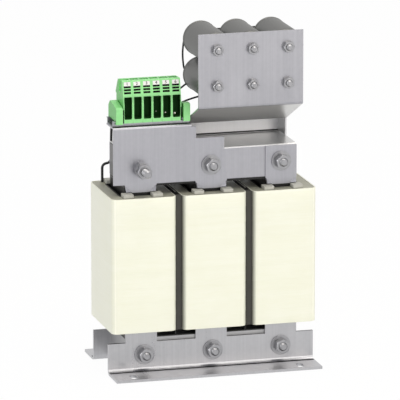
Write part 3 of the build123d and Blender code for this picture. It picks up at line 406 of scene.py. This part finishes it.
# Geometry nodes that set one part out in columns and rows, each copy turned a little
def rows_tree():
    tree = bpy.data.node_groups.new("rows_of_parts", "GeometryNodeTree")
    keys = {}
    for name, kind in (
        ("Part", "Geometry"), ("Columns", "Int"), ("Rows", "Int"), ("First Place", "Vector"),
        ("Column Step", "Vector"), ("Row Step", "Vector"), ("Most Turn", "Vector"),
        ("Seed", "Int"), ("Material", "Material"),
    ):
        socket = tree.interface.new_socket(name, in_out="INPUT", socket_type=f"NodeSocket{kind}")
        keys[name] = socket.identifier
    tree.interface.new_socket("Geometry", in_out="OUTPUT", socket_type="NodeSocketGeometry")
    given = put(tree, "NodeGroupInput").outputs
    inputs = {"Count": given["Columns"], "Offset": given["Column Step"]}
    inputs["Start Location"] = given["First Place"]
    row = put(tree, "GeometryNodeMeshLine", inputs).outputs[0]
    inputs = {"Count": given["Rows"], "Offset": given["Row Step"]}
    starts = put(tree, "GeometryNodeMeshLine", inputs).outputs[0]
    grid = put(tree, "GeometryNodeInstanceOnPoints", {"Points": starts, "Instance": row}).outputs[0]
    grid = put(tree, "GeometryNodeRealizeInstances", {"Geometry": grid}).outputs[0]
    least = put(tree, "ShaderNodeVectorMath", {0: given["Most Turn"], "Scale": -1.0}, operation="SCALE")
    inputs = {0: least.outputs[0], 1: given["Most Turn"], "Seed": given["Seed"]}
    turn = put(tree, "FunctionNodeRandomValue", inputs, data_type="FLOAT_VECTOR").outputs[0]
    inputs = {"Points": grid, "Instance": given["Part"], "Rotation": turn}
    copies = put(tree, "GeometryNodeInstanceOnPoints", inputs).outputs[0]
    real = put(tree, "GeometryNodeRealizeInstances", {"Geometry": copies}).outputs[0]
    inputs = {"Geometry": real, "Material": given["Material"]}
    dressed = put(tree, "GeometryNodeSetMaterial", inputs).outputs[0]
    put(tree, "NodeGroupOutput", {0: dressed})
    return tree, keys


ROWS_TREE, ROWS_KEYS = rows_tree()


def repeated(name, builder, material, first, columns=1, step=0.0, rows=1, rise=0.0, turn=0.0, seed=1):
    """One mesh of a part set out in rows; places in millimetres and the most turn in degrees."""
    source = linked(f"{name}_part", drawn_mesh(name, builder))
    modifier = source.modifiers.new("rows", "NODES")
    modifier.node_group = ROWS_TREE
    for key, value in (
        ("Columns", columns), ("Rows", rows), ("First Place", tuple(float(v) * MM for v in first)),
        ("Column Step", (step * MM, 0.0, 0.0)), ("Row Step", (0.0, 0.0, rise * MM)),
        ("Most Turn", (0.0, radians(turn), 0.0)), ("Seed", seed), ("Material", material),
    ):
        modifier[ROWS_KEYS[key]] = value
    mesh = plain_mesh(source)
    mesh.name = name
    return mesh


def joined(name, meshes):
    """One object from several finished meshes, all in the first mesh's last material."""
    builder = bmesh.new()
    for mesh in meshes:
        builder.from_mesh(mesh)
    builder.to_mesh(meshes[0])
    builder.free()
    for polygon in meshes[0].polygons:
        polygon.material_index = len(meshes[0].materials) - 1
    return linked(name, meshes[0])


def circle(builder, y, radius, count=48):
    """Ring of vertices round the Y axis."""
    turns = [2 * pi * k / count for k in range(count)]
    return [builder.verts.new((radius * cos(t), y, radius * sin(t))) for t in turns]


def bridge(builder, rings, closed=False, capped=False):
    """Faces between closed rings of equal length, and over the two ends."""
    pairs = list(zip(rings, rings[1:]))
    if closed:
        pairs.append((rings[-1], rings[0]))
    for first, second in pairs:
        for k in range(len(first)):
            n = (k + 1) % len(first)
            builder.faces.new((first[k], first[n], second[n], second[k]))
    if capped:
        builder.faces.new(rings[0])
        builder.faces.new(rings[-1])


def turned(builder, profile, count=48, closed=True, capped=False):
    """Lathe shape from a profile of radius and Y."""
    rings = [circle(builder, y, radius, count) for radius, y in profile]
    bridge(builder, rings, closed, capped)


def block(builder, across, deep, high):
    """Box between its two ends along X, Y and Z."""
    (left, right), (front, back) = across, deep
    corners = [(left, front), (right, front), (right, back), (left, back)]
    rings = [[builder.verts.new((x, y, z)) for x, y in corners] for z in high]
    bridge(builder, rings, capped=True)


def placed(name, builder, material, slot):
    """A piece that was drawn where it stands, and replaces nothing."""
    piece = linked(name, drawn_mesh(name, builder))
    piece.data.materials.append(material)
    stand_for(piece, slot)


def hexagon(builder, front, back, flats, bore=0.0, count=48):
    """Nut, or a bolt's head where there is no bore, with its corners cut by 30 degree cones."""
    land = flats / 2 * 0.97
    chamfer = 0.6

    def corners(y, sign):
        ring = []
        for k in range(count):
            turn = 2 * pi * k / count
            radius = flats / 2 / cos((turn + pi / 6) % (pi / 3) - pi / 6)
            depth = sign * (radius - land) * tan(radians(30))
            ring.append(builder.verts.new((radius * cos(turn), y + depth, radius * sin(turn))))
        return ring

    rings = [circle(builder, front, land, count), corners(front, 1)]
    rings += [corners(back, -1), circle(builder, back, land, count)]
    if bore:
        for y, inward in ((front, chamfer), (back, -chamfer)):
            mouth = circle(builder, y, bore / 2 + chamfer, count)
            wall = circle(builder, y + inward, bore / 2, count)
            rings = [wall, mouth] + rings if y == front else rings + [mouth, wall]
    bridge(builder, rings, closed=bool(bore), capped=not bore)


def threaded(builder, tip, end, diameter, pitch, count=24):
    """Right-hand thread from a chamfered tip to its end, with narrow flat crests and roots."""
    crest, root = diameter / 2, diameter / 2 - 0.54 * pitch
    flank, root_width, chamfer = 2.6, 0.15, 0.9
    tip_radius = root * 0.86
    rows = int(round((end - tip) / (pitch / 6)))
    rings = []
    for row in range(rows + 1):
        y = tip + row * (end - tip) / rows
        ring = []
        for k in range(count):
            phase = (y / pitch + k / count) % 1.0
            height = min(1.0, max(0.0, abs(phase - 0.5) * flank - root_width))
            radius = min(root + (crest - root) * height, tip_radius + (y - tip) * chamfer)
            turn = 2 * pi * k / count
            ring.append(builder.verts.new((radius * cos(turn), y, radius * sin(turn))))
        rings.append(ring)
    bridge(builder, rings, capped=True)


def pressed_washer(outer, bore, thickness, edge=0.25):
    """Flat washer with rolled outer edges, whose front is at Y = 0."""
    builder = bmesh.new()
    rim = [(outer / 2 - edge, 0.0), (outer / 2 - edge * 0.3, edge * 0.3), (outer / 2, edge)]
    far = [(radius, thickness - y) for radius, y in reversed(rim)]
    turned(builder, [(bore / 2, 0.0)] + rim + far + [(bore / 2, thickness)], 56)
    return builder


def split_washer(outer, bore, thickness, gap=0.16, count=56):
    """Spring washer: a cut ring of rectangular section with a gap, in radians, and a little rise."""
    builder = bmesh.new()
    rise = 0.12 * thickness
    start = radians(75) + gap / 2
    rings = []
    for k in range(count + 1):
        turn = start + (2 * pi - gap) * k / count
        low = rise * k / count
        high = low + thickness - rise
        corners = [(bore / 2, low), (outer / 2, low), (outer / 2, high), (bore / 2, high)]
        rings.append([builder.verts.new((r * cos(turn), y, r * sin(turn))) for r, y in corners])
    bridge(builder, rings, capped=True)
    return builder


def toothed_washer(outer, bore, thickness, teeth=18):
    """Lock washer with twisted teeth round its outside."""
    builder = bmesh.new()
    hub, notch, twist = 0.76 * outer, 1.1, 0.12
    steps = teeth * 4
    rings = []
    for width, level in ((bore, 0.0), (hub, 0.0), (outer, 0.1), (outer, 0.9), (hub, 1.0), (bore, 1.0)):
        ring = []
        for k in range(steps):
            tooth = width == outer and (k // 2) % 2
            reach = width / 2 - (notch if width == outer and not tooth else 0.0)
            y = level * thickness + (twist * (k % 2 * 2 - 1) if tooth else 0.0)
            turn = 2 * pi * k / steps
            ring.append(builder.verts.new((reach * cos(turn), y, reach * sin(turn))))
        rings.append(ring)
    bridge(builder, rings, closed=True)
    return builder


def tie_bolt(tip):
    """Bolt with a rolled thread in front, which ends inside the sheet, and a pressed head behind."""
    builder = bmesh.new()
    thread_sunk, slack = 1.5, 0.01
    thread_end = thread_sunk - SHEET_FACE
    shank = BOLT / 2 - slack
    threaded(builder, -tip, thread_end, BOLT, BOLT_PITCH)
    turned(builder, [(shank, thread_end), (shank, HEAD_SEAT)], 32, closed=False, capped=True)
    hexagon(builder, HEAD_SEAT, HEAD_SEAT + BOLT_HEAD, BOLT_FLATS)
    return builder


def nut(flats, bore, thickness):
    """Chamfered nut whose front is at Y = 0."""
    builder = bmesh.new()
    hexagon(builder, 0.0, thickness, flats, bore)
    return builder


def tie_nut():
    return nut(BOLT_FLATS, BOLT + 0.1, NUT)


def row_of(name, builder, row, y=0.0, turn=0.0, seed=1, material=FASTENER):
    """A part at each place of a row, each turned at random by up to so many degrees."""
    x, z = row["first"]
    others = {key: value for key, value in row.items() if key != "first"}
    return repeated(name, builder, material, (x, y, z), turn=turn, seed=seed, **others)


# Tie bolts through the yokes, and the earth stud, with their washers and nuts
lower = {"first": (LOWER_FIRST_X, LOWER_Z), "columns": 3, "step": LOWER_STEP}
upper = {"first": (0.0, UPPER_Z), "columns": 2, "step": COIL_PITCH}
earth = {"first": (EARTH_X, UPPER_Z)}
for name, row, tip in (
    ("upper_tie_bolts", upper, BOLT_TIP),
    ("lower_tie_bolts", lower, BOLT_TIP),
    ("earth_bolt", earth, EARTH_TIP),
):
    mesh = row_of(name, tie_bolt(tip), row, turn=20.0)
    stand_for(linked(f"{name}_threaded", mesh), "zinc_fastener", name)

earth_inner = -SHEET_FACE - NUT
earth_step = EARTH_WASHER + EARTH_WASHER_GAP
earth_outer = earth_inner - 3 * earth_step - EARTH_WASHER_GAP - NUT
meshes = [row_of("tie_nuts", tie_nut(), row, -SPRING_SEAT - NUT, 28.0, seed=3) for row in (lower, upper)]
meshes.append(row_of("earth_nuts", tie_nut(), earth, earth_inner, 28.0, seed=2))
meshes.append(row_of("earth_nuts", tie_nut(), earth, earth_outer, 28.0, seed=4))
stand_for(joined("tie_nuts_chamfered", meshes), "zinc_fastener", "tie_nuts")

washer_bore = BOLT + 0.5
meshes = []
for row, y in (
    (lower, -HEAD_SEAT), (upper, -HEAD_SEAT), (lower, SHEET_FACE), (upper, SHEET_FACE), (earth, SHEET_FACE)
):
    builder = pressed_washer(WIDE_OUTSIDE, washer_bore, WIDE_WASHER)
    meshes.append(row_of("wide_washers", builder, row, y))
stand_for(joined("wide_washers_pressed", meshes), "zinc_fastener", "wide_washers")

meshes = []
for row in (lower, upper):
    builder = split_washer(SPRING_OUTSIDE, washer_bore, SPRING_WASHER)
    meshes.append(row_of("spring_washers", builder, row, -SPRING_SEAT, turn=60.0))
stand_for(joined("spring_washers_split", meshes), "zinc_fastener", "spring_washers")

meshes = []
for k, washer in enumerate((pressed_washer, toothed_washer, pressed_washer), 1):
    builder = washer(EARTH_OUTSIDE, washer_bore, EARTH_WASHER)
    meshes.append(row_of("earth_washers", builder, earth, earth_inner - k * earth_step))
stand_for(joined("earth_washers_toothed", meshes), "zinc_fastener", "earth_washers")

# Capacitor cans' studs, washers and nuts
cans = {
    "first": (CAN_FIRST_X, CAN_FIRST_Z), "columns": 3, "step": CAN_STEP_X, "rows": 2, "rise": CAN_STEP_Z
}
stud_washer_front = PLATE_FRONT - STUD_WASHER
stud_nut_front = stud_washer_front - STUD_NUT
builder = nut(STUD_FLATS, STUD + 0.1, STUD_NUT)
mesh = row_of("capacitor_nuts", builder, cans, stud_nut_front, turn=30.0)
stand_for(linked("capacitor_nuts_chamfered", mesh), "zinc_fastener", "capacitor_nuts")
builder = pressed_washer(STUD_OUTSIDE, STUD + 0.4, STUD_WASHER, 0.2)
mesh = row_of("capacitor_washers", builder, cans, stud_washer_front)
stand_for(linked("capacitor_washers_pressed", mesh), "zinc_fastener", "capacitor_washers")
builder = bmesh.new()
threaded(builder, stud_nut_front - STUD_TIP, CAN_FRONT, STUD, STUD_PITCH)
mesh = row_of("capacitor_studs", builder, cans)
stand_for(linked("capacitor_studs_threaded", mesh), "zinc_fastener")

# Cans: a drawn-in shoulder in front, and a groove and a rolled bead at the back
stud_hole = 4.6
shoulder, shoulder_length = CAN_RADIUS - 2.3, 7.0
bead_radius, bead_y, bead_width, bead_rise = CAN_RADIUS - 0.7, CAN_BACK - 1.7, 1.6, 1.2
profile = [(stud_hole, CAN_FRONT)]
for k in range(7):
    angle = radians(15 * k)
    reach = (CAN_RADIUS - shoulder) * sin(angle)
    profile.append((shoulder + reach, CAN_FRONT + shoulder_length * (1 - cos(angle))))
profile += [(CAN_RADIUS, -40.0), (CAN_RADIUS, -10.0)]
for drawn_in, from_back in ((0.0, 6.2), (0.5, 5.4), (0.6, 4.8), (0.4, 4.2)):
    profile.append((CAN_RADIUS - drawn_in, CAN_BACK - from_back))
for k in range(17):
    angle = radians(-60 + 15 * k)
    profile.append((bead_radius + bead_rise * cos(angle), bead_y + bead_width * sin(angle)))
profile.append((CAN_RADIUS - 1.6, CAN_BACK - 1.0))
builder = bmesh.new()
turned(builder, profile, 96, closed=False, capped=True)
mesh = row_of("capacitor_shells", builder, cans, material=CAN)
stand_for(linked("capacitor_shells_drawn", mesh), "can_aluminium", *[f"capacitor_{k}" for k in range(1, 7)])


# Coil wraps: nine flat turns of tape, each lapping the one below
def rounded_rectangle(builder, half_x, half_y, corner, z, per_corner=9):
    """Level ring of vertices with round corners."""
    ring = []
    for quarter in range(4):
        centre_x = (half_x - corner) * (1 if quarter in (0, 3) else -1)
        centre_y = (half_y - corner) * (1 if quarter in (0, 1) else -1)
        for k in range(per_corner):
            turn = pi / 2 * (quarter + k / (per_corner - 1))
            x, y = centre_x + corner * cos(turn), centre_y + corner * sin(turn)
            ring.append(builder.verts.new((x, y, z)))
    return ring


# Each step is a height and how far the wall stands out there
tape_turns, lap_below, lap_above, lap_depth = 9, 0.12, 0.1, 0.13
steps = [(COIL_BOTTOM, -0.7), (COIL_BOTTOM + 0.2, -0.3), (COIL_BOTTOM + 0.7, -0.05)]
for k in range(1, tape_turns):
    low = COIL_BOTTOM + k * (COIL_TOP - COIL_BOTTOM) / tape_turns
    steps += [(low - lap_below, -lap_depth), (low + lap_above, 0.0)]
steps += [(COIL_TOP - 0.7, -0.05), (COIL_TOP - 0.2, -0.25), (COIL_TOP, -0.6)]
builder = bmesh.new()
rings = []
for z, out in steps:
    sizes = (COIL_HALF_X + out, COIL_HALF_Y + out, COIL_CORNER + out)
    rings.append(rounded_rectangle(builder, *sizes, z))
inner_edge = 0.3
inner = [size - WRAP for size in (COIL_HALF_X, COIL_HALF_Y, COIL_CORNER)]
rings.append(rounded_rectangle(builder, *[size + inner_edge for size in inner], COIL_TOP))
rings.append(rounded_rectangle(builder, *inner, COIL_TOP - inner_edge))
rings.append(rounded_rectangle(builder, *inner, COIL_BOTTOM))
bridge(builder, rings, closed=True)
coils = {"first": (-COIL_PITCH, 0.0), "columns": 3, "step": COIL_PITCH}
mesh = row_of("coil_wraps", builder, coils, material=TAPE)
# A painted highlight on a strip down each outer front corner, on the faces turned 14 to 31 degrees
# aside. The two bounds are the sines of those angles
least_aside, most_aside = 0.25, 0.52
mesh.materials.append(CORNER_HIGHLIGHT_TAPE)
for polygon in mesh.polygons:
    outer = abs(polygon.center.x) > 1.4 * COIL_PITCH * MM and polygon.normal.y < 0
    if outer and least_aside < abs(polygon.normal.x) < most_aside:
        polygon.material_index = len(mesh.materials) - 1
stand_for(linked("coil_wraps_taped", mesh), "wrap_tape", *[f"coil_wrap_{side}" for side in SIDES])

# Round throat of each foot's fold
throat_y, throat_z = SHEET_FACE + FOOT_THROAT, FLANGE_TOP + FOOT_THROAT
builder = bmesh.new()
for side in (-1, 1):
    profile = [(SHEET_FACE, FLANGE_TOP)]
    for k in range(9):
        turn = pi / 2 * k / 8
        profile.append((throat_y - FOOT_THROAT * cos(turn), throat_z - FOOT_THROAT * sin(turn)))
    rings = [[builder.verts.new((x, side * y, z)) for y, z in profile] for x in (-FOOT_END, FOOT_END)]
    bridge(builder, rings, capped=True)
placed("foot_throats", builder, FOOT_ZINC, "zinc_sheet")

# Painted shade and dark reflection along the folds, on the feet's flanges, and painted shade before the
# rail on the shelf
shade_rise, shade_sunk = 0.04, 0.16
builder = bmesh.new()
for across, deep, top in (
    ((0.2 - FOOT_END, FOOT_END - 0.2), (-48.0, -43.7), FLANGE_TOP),
    ((0.2 - FOOT_END, FOOT_END - 0.2), (43.7, 48.0), FLANGE_TOP),
    ((-128.5, -26.5), (-36.6, -32.1), SHELF_TOP),
):
    block(builder, across, deep, (top - shade_sunk, top + shade_rise))
placed("fold_shade_strips", builder, FOLD_SHADE, "lead_jacket")

# Black boards that stand on the lower yoke between the coils, with a pale cut edge on top. Their
# black is partly painted shade, deep in the gaps
gaps = {"first": (-COIL_PITCH / 2, 0.0), "columns": 2, "step": COIL_PITCH}
board = 0.7
builder = bmesh.new()
block(builder, (-board, board), (-36.0, 50.0), (YOKE_TOP, COIL_TOP + 1.0))
mesh = row_of("gap_boards", builder, gaps, material=FORMER)
mesh.materials.append(BOARD)
for polygon in mesh.polygons:
    if polygon.normal.z > 0.9:
        polygon.material_index = len(mesh.materials) - 1
stand_for(linked("gap_boards", mesh), "gap_board")

# Grey blocks of painted shade that close the front of the gaps between the coils, just clear of both
filler = COIL_PITCH / 2 - COIL_HALF_X - 0.05
builder = bmesh.new()
block(builder, (-filler, filler), (-52.0, -44.0), (COIL_BOTTOM, COIL_TOP - 0.5))
mesh = row_of("gap_shade_blocks", builder, gaps, material=GAP_SHADE)
stand_for(linked("gap_shade_blocks", mesh), "gap_board")

# Black strip of painted shadow in the seam between the clamp and the bracket's rear wall
builder = bmesh.new()
block(builder, (-22.0, 112.3), (37.0, 37.45), (290.9, 292.7))
placed("clamp_seam_shadow_strip", builder, FORMER, "former_board")

# Terminals. First the dark linings of the windows, which are painted shade, with a sill and a thin rim on
# either side
terminals = {"first": (TERMINAL_FIRST_X, 0.0), "columns": 6, "step": TERMINAL_STEP}
clearance, shade_wall, sill, rim_width, proud = 0.05, 0.25, 1.6, 0.5, 0.05
shade_front, shade_floor, shade_back, sill_back = -37.4, -30.7, -30.3, -35.2
half = WINDOW_WIDTH / 2 - clearance
low, high = WINDOW_BOTTOM + sill, WINDOW_BOTTOM + WINDOW_HEIGHT - clearance
builder = bmesh.new()
rings = []
for y, inset in ((shade_back, 0.0), (shade_front, 0.0), (shade_front, shade_wall), (shade_floor, shade_wall)):
    x, bottom, top = half - inset, low + inset, high - inset
    corners = [(-x, bottom), (x, bottom), (x, top), (-x, top)]
    rings.append([builder.verts.new((x, y, z)) for x, z in corners])
bridge(builder, rings, capped=True)
block(builder, (-half, half), (shade_front, sill_back), (WINDOW_BOTTOM + clearance, low + 0.2))
rim = WINDOW_WIDTH / 2 + rim_width
for across in ((-rim, 0.1 - half), (half - 0.1, rim)):
    block(builder, across, (TERMINAL_FRONT - proud, TERMINAL_FRONT + 0.1), (low, high))
mesh = row_of("window_shade_linings", builder, terminals, material=WINDOW_SHADE)
stand_for(linked("window_shade_linings", mesh), "lead_jacket")

# Green lips under the housings' fronts
lip = TERMINAL_STEP / 2 - 0.15
builder = bmesh.new()
block(builder, (-lip, lip), (TERMINAL_FRONT + 0.05, -33.0), (328.4, 331.05))
mesh = row_of("terminal_lips", builder, terminals, material=GREEN)
stand_for(linked("terminal_lips", mesh), "terminal_plastic")

# Black inlays of painted shade that fill the slots of the leaning faces and lap their edges by 0.45 mm
lean = atan2(LEAN_RUN, LEAN_RISE)


def on_lean(x, along, out):
    """Point by the leaning face: up it from its foot, and out of it."""
    y = TERMINAL_FRONT + along * sin(lean) - out * cos(lean)
    return Vector((x, y, LEAN_BOTTOM + along * cos(lean) + out * sin(lean)))


inlay_x, inlay_reach, inlay_depth = 4.55, 1.3, 1.2
builder = bmesh.new()
for k in range(3):
    middle = SLOT_FIRST + k * SLOT_STEP
    low, high = middle - inlay_reach, middle + inlay_reach
    corners = [(-inlay_x, low), (inlay_x, low), (inlay_x, high), (-inlay_x, high)]
    rings = []
    for out in (0.04, -inlay_depth):
        rings.append([builder.verts.new(on_lean(x, along, out)) for x, along in corners])
    bridge(builder, rings, capped=True)
mesh = row_of("slot_shade_inlays", builder, terminals, material=BLACK_SHADE)
stand_for(linked("slot_shade_inlays", mesh), "lead_jacket")

# Dark seams of painted shadow at the two ends of the row
seam = 0.6
row_left, row_right = TERMINAL_FIRST_X - TERMINAL_STEP / 2, TERMINAL_FIRST_X + 5.5 * TERMINAL_STEP
builder = bmesh.new()
for x in (row_left + seam / 2, row_right - seam / 2):
    block(builder, (x - seam, x + seam), (TERMINAL_FRONT - 0.06, TERMINAL_FRONT + 0.1), (328.6, 346.0))
placed("end_shadow_seams", builder, BLACK_SHADE, "lead_jacket")

# Tinned corners of the contact bars that glint low in the three windows on the right
glint_front, glint_back = -30.78, -30.4
builder = bmesh.new()
for x, z, width, height in ((-45.7, 336.9, 2.6, 2.2), (-58.1, 338.4, 1.4, 1.4), (-70.5, 340.6, 0.8, 0.8)):
    across, rise = (x - width / 2, x + width / 2), (z - height / 2, z + height / 2)
    block(builder, across, (glint_front, glint_back), rise)
placed("contact_corners", builder, TINNED, "tinned_brass")

# Plain numbers on the tags, which stand out of the leaning face by less than half a millimetre
tag_face = 0.42
meshes = []
for k in range(6):
    data = bpy.data.curves.new("tag_number", "FONT")
    data.body = str(k + 1)
    data.align_x = "CENTER"
    data.align_y = "CENTER"
    data.size = 5.4
    data.extrude = 0.03
    data.offset = 0.08
    mesh = plain_mesh(linked("tag_number", data))
    place = on_lean(TERMINAL_FIRST_X + k * TERMINAL_STEP, TAG_CENTRE, tag_face)
    mesh.transform(Matrix.Translation(place) @ Matrix.Rotation(pi / 2 - lean, 4, "X"))
    mesh.transform(Matrix.Scale(MM, 4))
    mesh.materials.clear()
    mesh.materials.append(INK)
    meshes.append(mesh)
stand_for(joined("tag_numbers", meshes), "lead_jacket")


# Studio: a white floor and surround, a large lamp in front and a larger one above, both slightly
# warm, and a narrow strip lamp at the left
def background_rays(tree):
    """One for the rays that show the background: camera, glossy and transmission."""
    path = put(tree, "ShaderNodeLightPath").outputs
    inputs = {0: path["Is Camera Ray"], 1: path["Is Glossy Ray"]}
    seen = put(tree, "ShaderNodeMath", inputs, operation="ADD").outputs[0]
    inputs = {0: seen, 1: path["Is Transmission Ray"]}
    return put(tree, "ShaderNodeMath", inputs, operation="ADD", use_clamp=True).outputs[0]


# Flat white paint. The camera sees mostly an even white in its place, so that shadows are faint
FLOOR = surface("painted_white_floor", "#FBFBFB", "#FDFDFD", (0.85, 0.95), [(330, 330, 330, 1.0)])
white_share = 0.97
tree = FLOOR.node_tree
white = put(tree, "ShaderNodeEmission", {"Color": (1.0, 1.0, 1.0, 1.0), "Strength": 1.0})
inputs = {0: background_rays(tree), 1: white_share}
share = put(tree, "ShaderNodeMath", inputs, operation="MULTIPLY")
painted = tree.nodes["Principled BSDF"].outputs[0]
both = put(tree, "ShaderNodeMixShader", {0: share.outputs[0], 1: painted, 2: white.outputs[0]})
tree.links.new(both.outputs[0], tree.nodes["Material Output"].inputs["Surface"])
mesh = bpy.data.meshes.new("studio_floor")
mesh.from_pydata([(-6, -6, 0), (6, -6, 0), (6, 6, 0), (-6, 6, 0)], [], [(0, 1, 2, 3)])
mesh.materials.append(FLOOR)
linked("studio_floor", mesh)

# The surround lights the part from all sides, less from above, and the camera sees an even white
surround_strength = 0.72
world = bpy.data.worlds.new("studio")
scene.world = world
world.use_nodes = True
tree = world.node_tree
tree.nodes.clear()
direction = put(tree, "ShaderNodeTexCoord").outputs["Generated"]
height = put(tree, "ShaderNodeSeparateXYZ", {"Vector": direction}).outputs["Z"]
inputs = {"Value": height, "From Min": 0.1, "From Max": 0.9}
share = put(tree, "ShaderNodeMapRange", inputs).outputs["Result"]
inputs = {0: share, 6: tone("#FAFAFC"), 7: tone("#B4B2AE")}
surround = put(tree, "ShaderNodeMix", inputs, data_type="RGBA").outputs[2]
inputs = {"Color": surround, "Strength": surround_strength}
studio = put(tree, "ShaderNodeBackground", inputs)
backdrop = put(tree, "ShaderNodeBackground", {"Color": (1.0, 1.0, 1.0, 1.0), "Strength": 1.0})
inputs = {0: background_rays(tree), 1: studio.outputs[0], 2: backdrop.outputs[0]}
shown = put(tree, "ShaderNodeMixShader", inputs)
put(tree, "ShaderNodeOutputWorld", {"Surface": shown.outputs[0]})


def soft_lamp(name, place, width, height, power, colour):
    """Rectangular lamp turned to the part's middle; metres and watts."""
    data = bpy.data.lights.new(name, "AREA")
    data.shape = "RECTANGLE"
    data.size, data.size_y = width, height
    data.energy = power
    data.color = tone(colour)[:3]
    lamp = bpy.data.objects.new(name, data)
    lamp.location = place
    toward_part = Vector((0, 0, 0.22)) - Vector(place)
    lamp.rotation_euler = toward_part.to_track_quat("-Z", "Y").to_euler()
    scene.collection.objects.link(lamp)


soft_lamp("front_softbox", (0.85, -3.15, 1.05), 1.6, 1.6, 17.3, "#FFF9F0")
soft_lamp("left_strip_softbox", (-2.2, -2.3, 0.8), 0.14, 1.8, 12, "#FFFFFF")
soft_lamp("top_softbox", (0.3, -0.5, 2.9), 2.4, 2.4, 48, "#FFF9F0")

scene.view_settings.view_transform = "Standard"
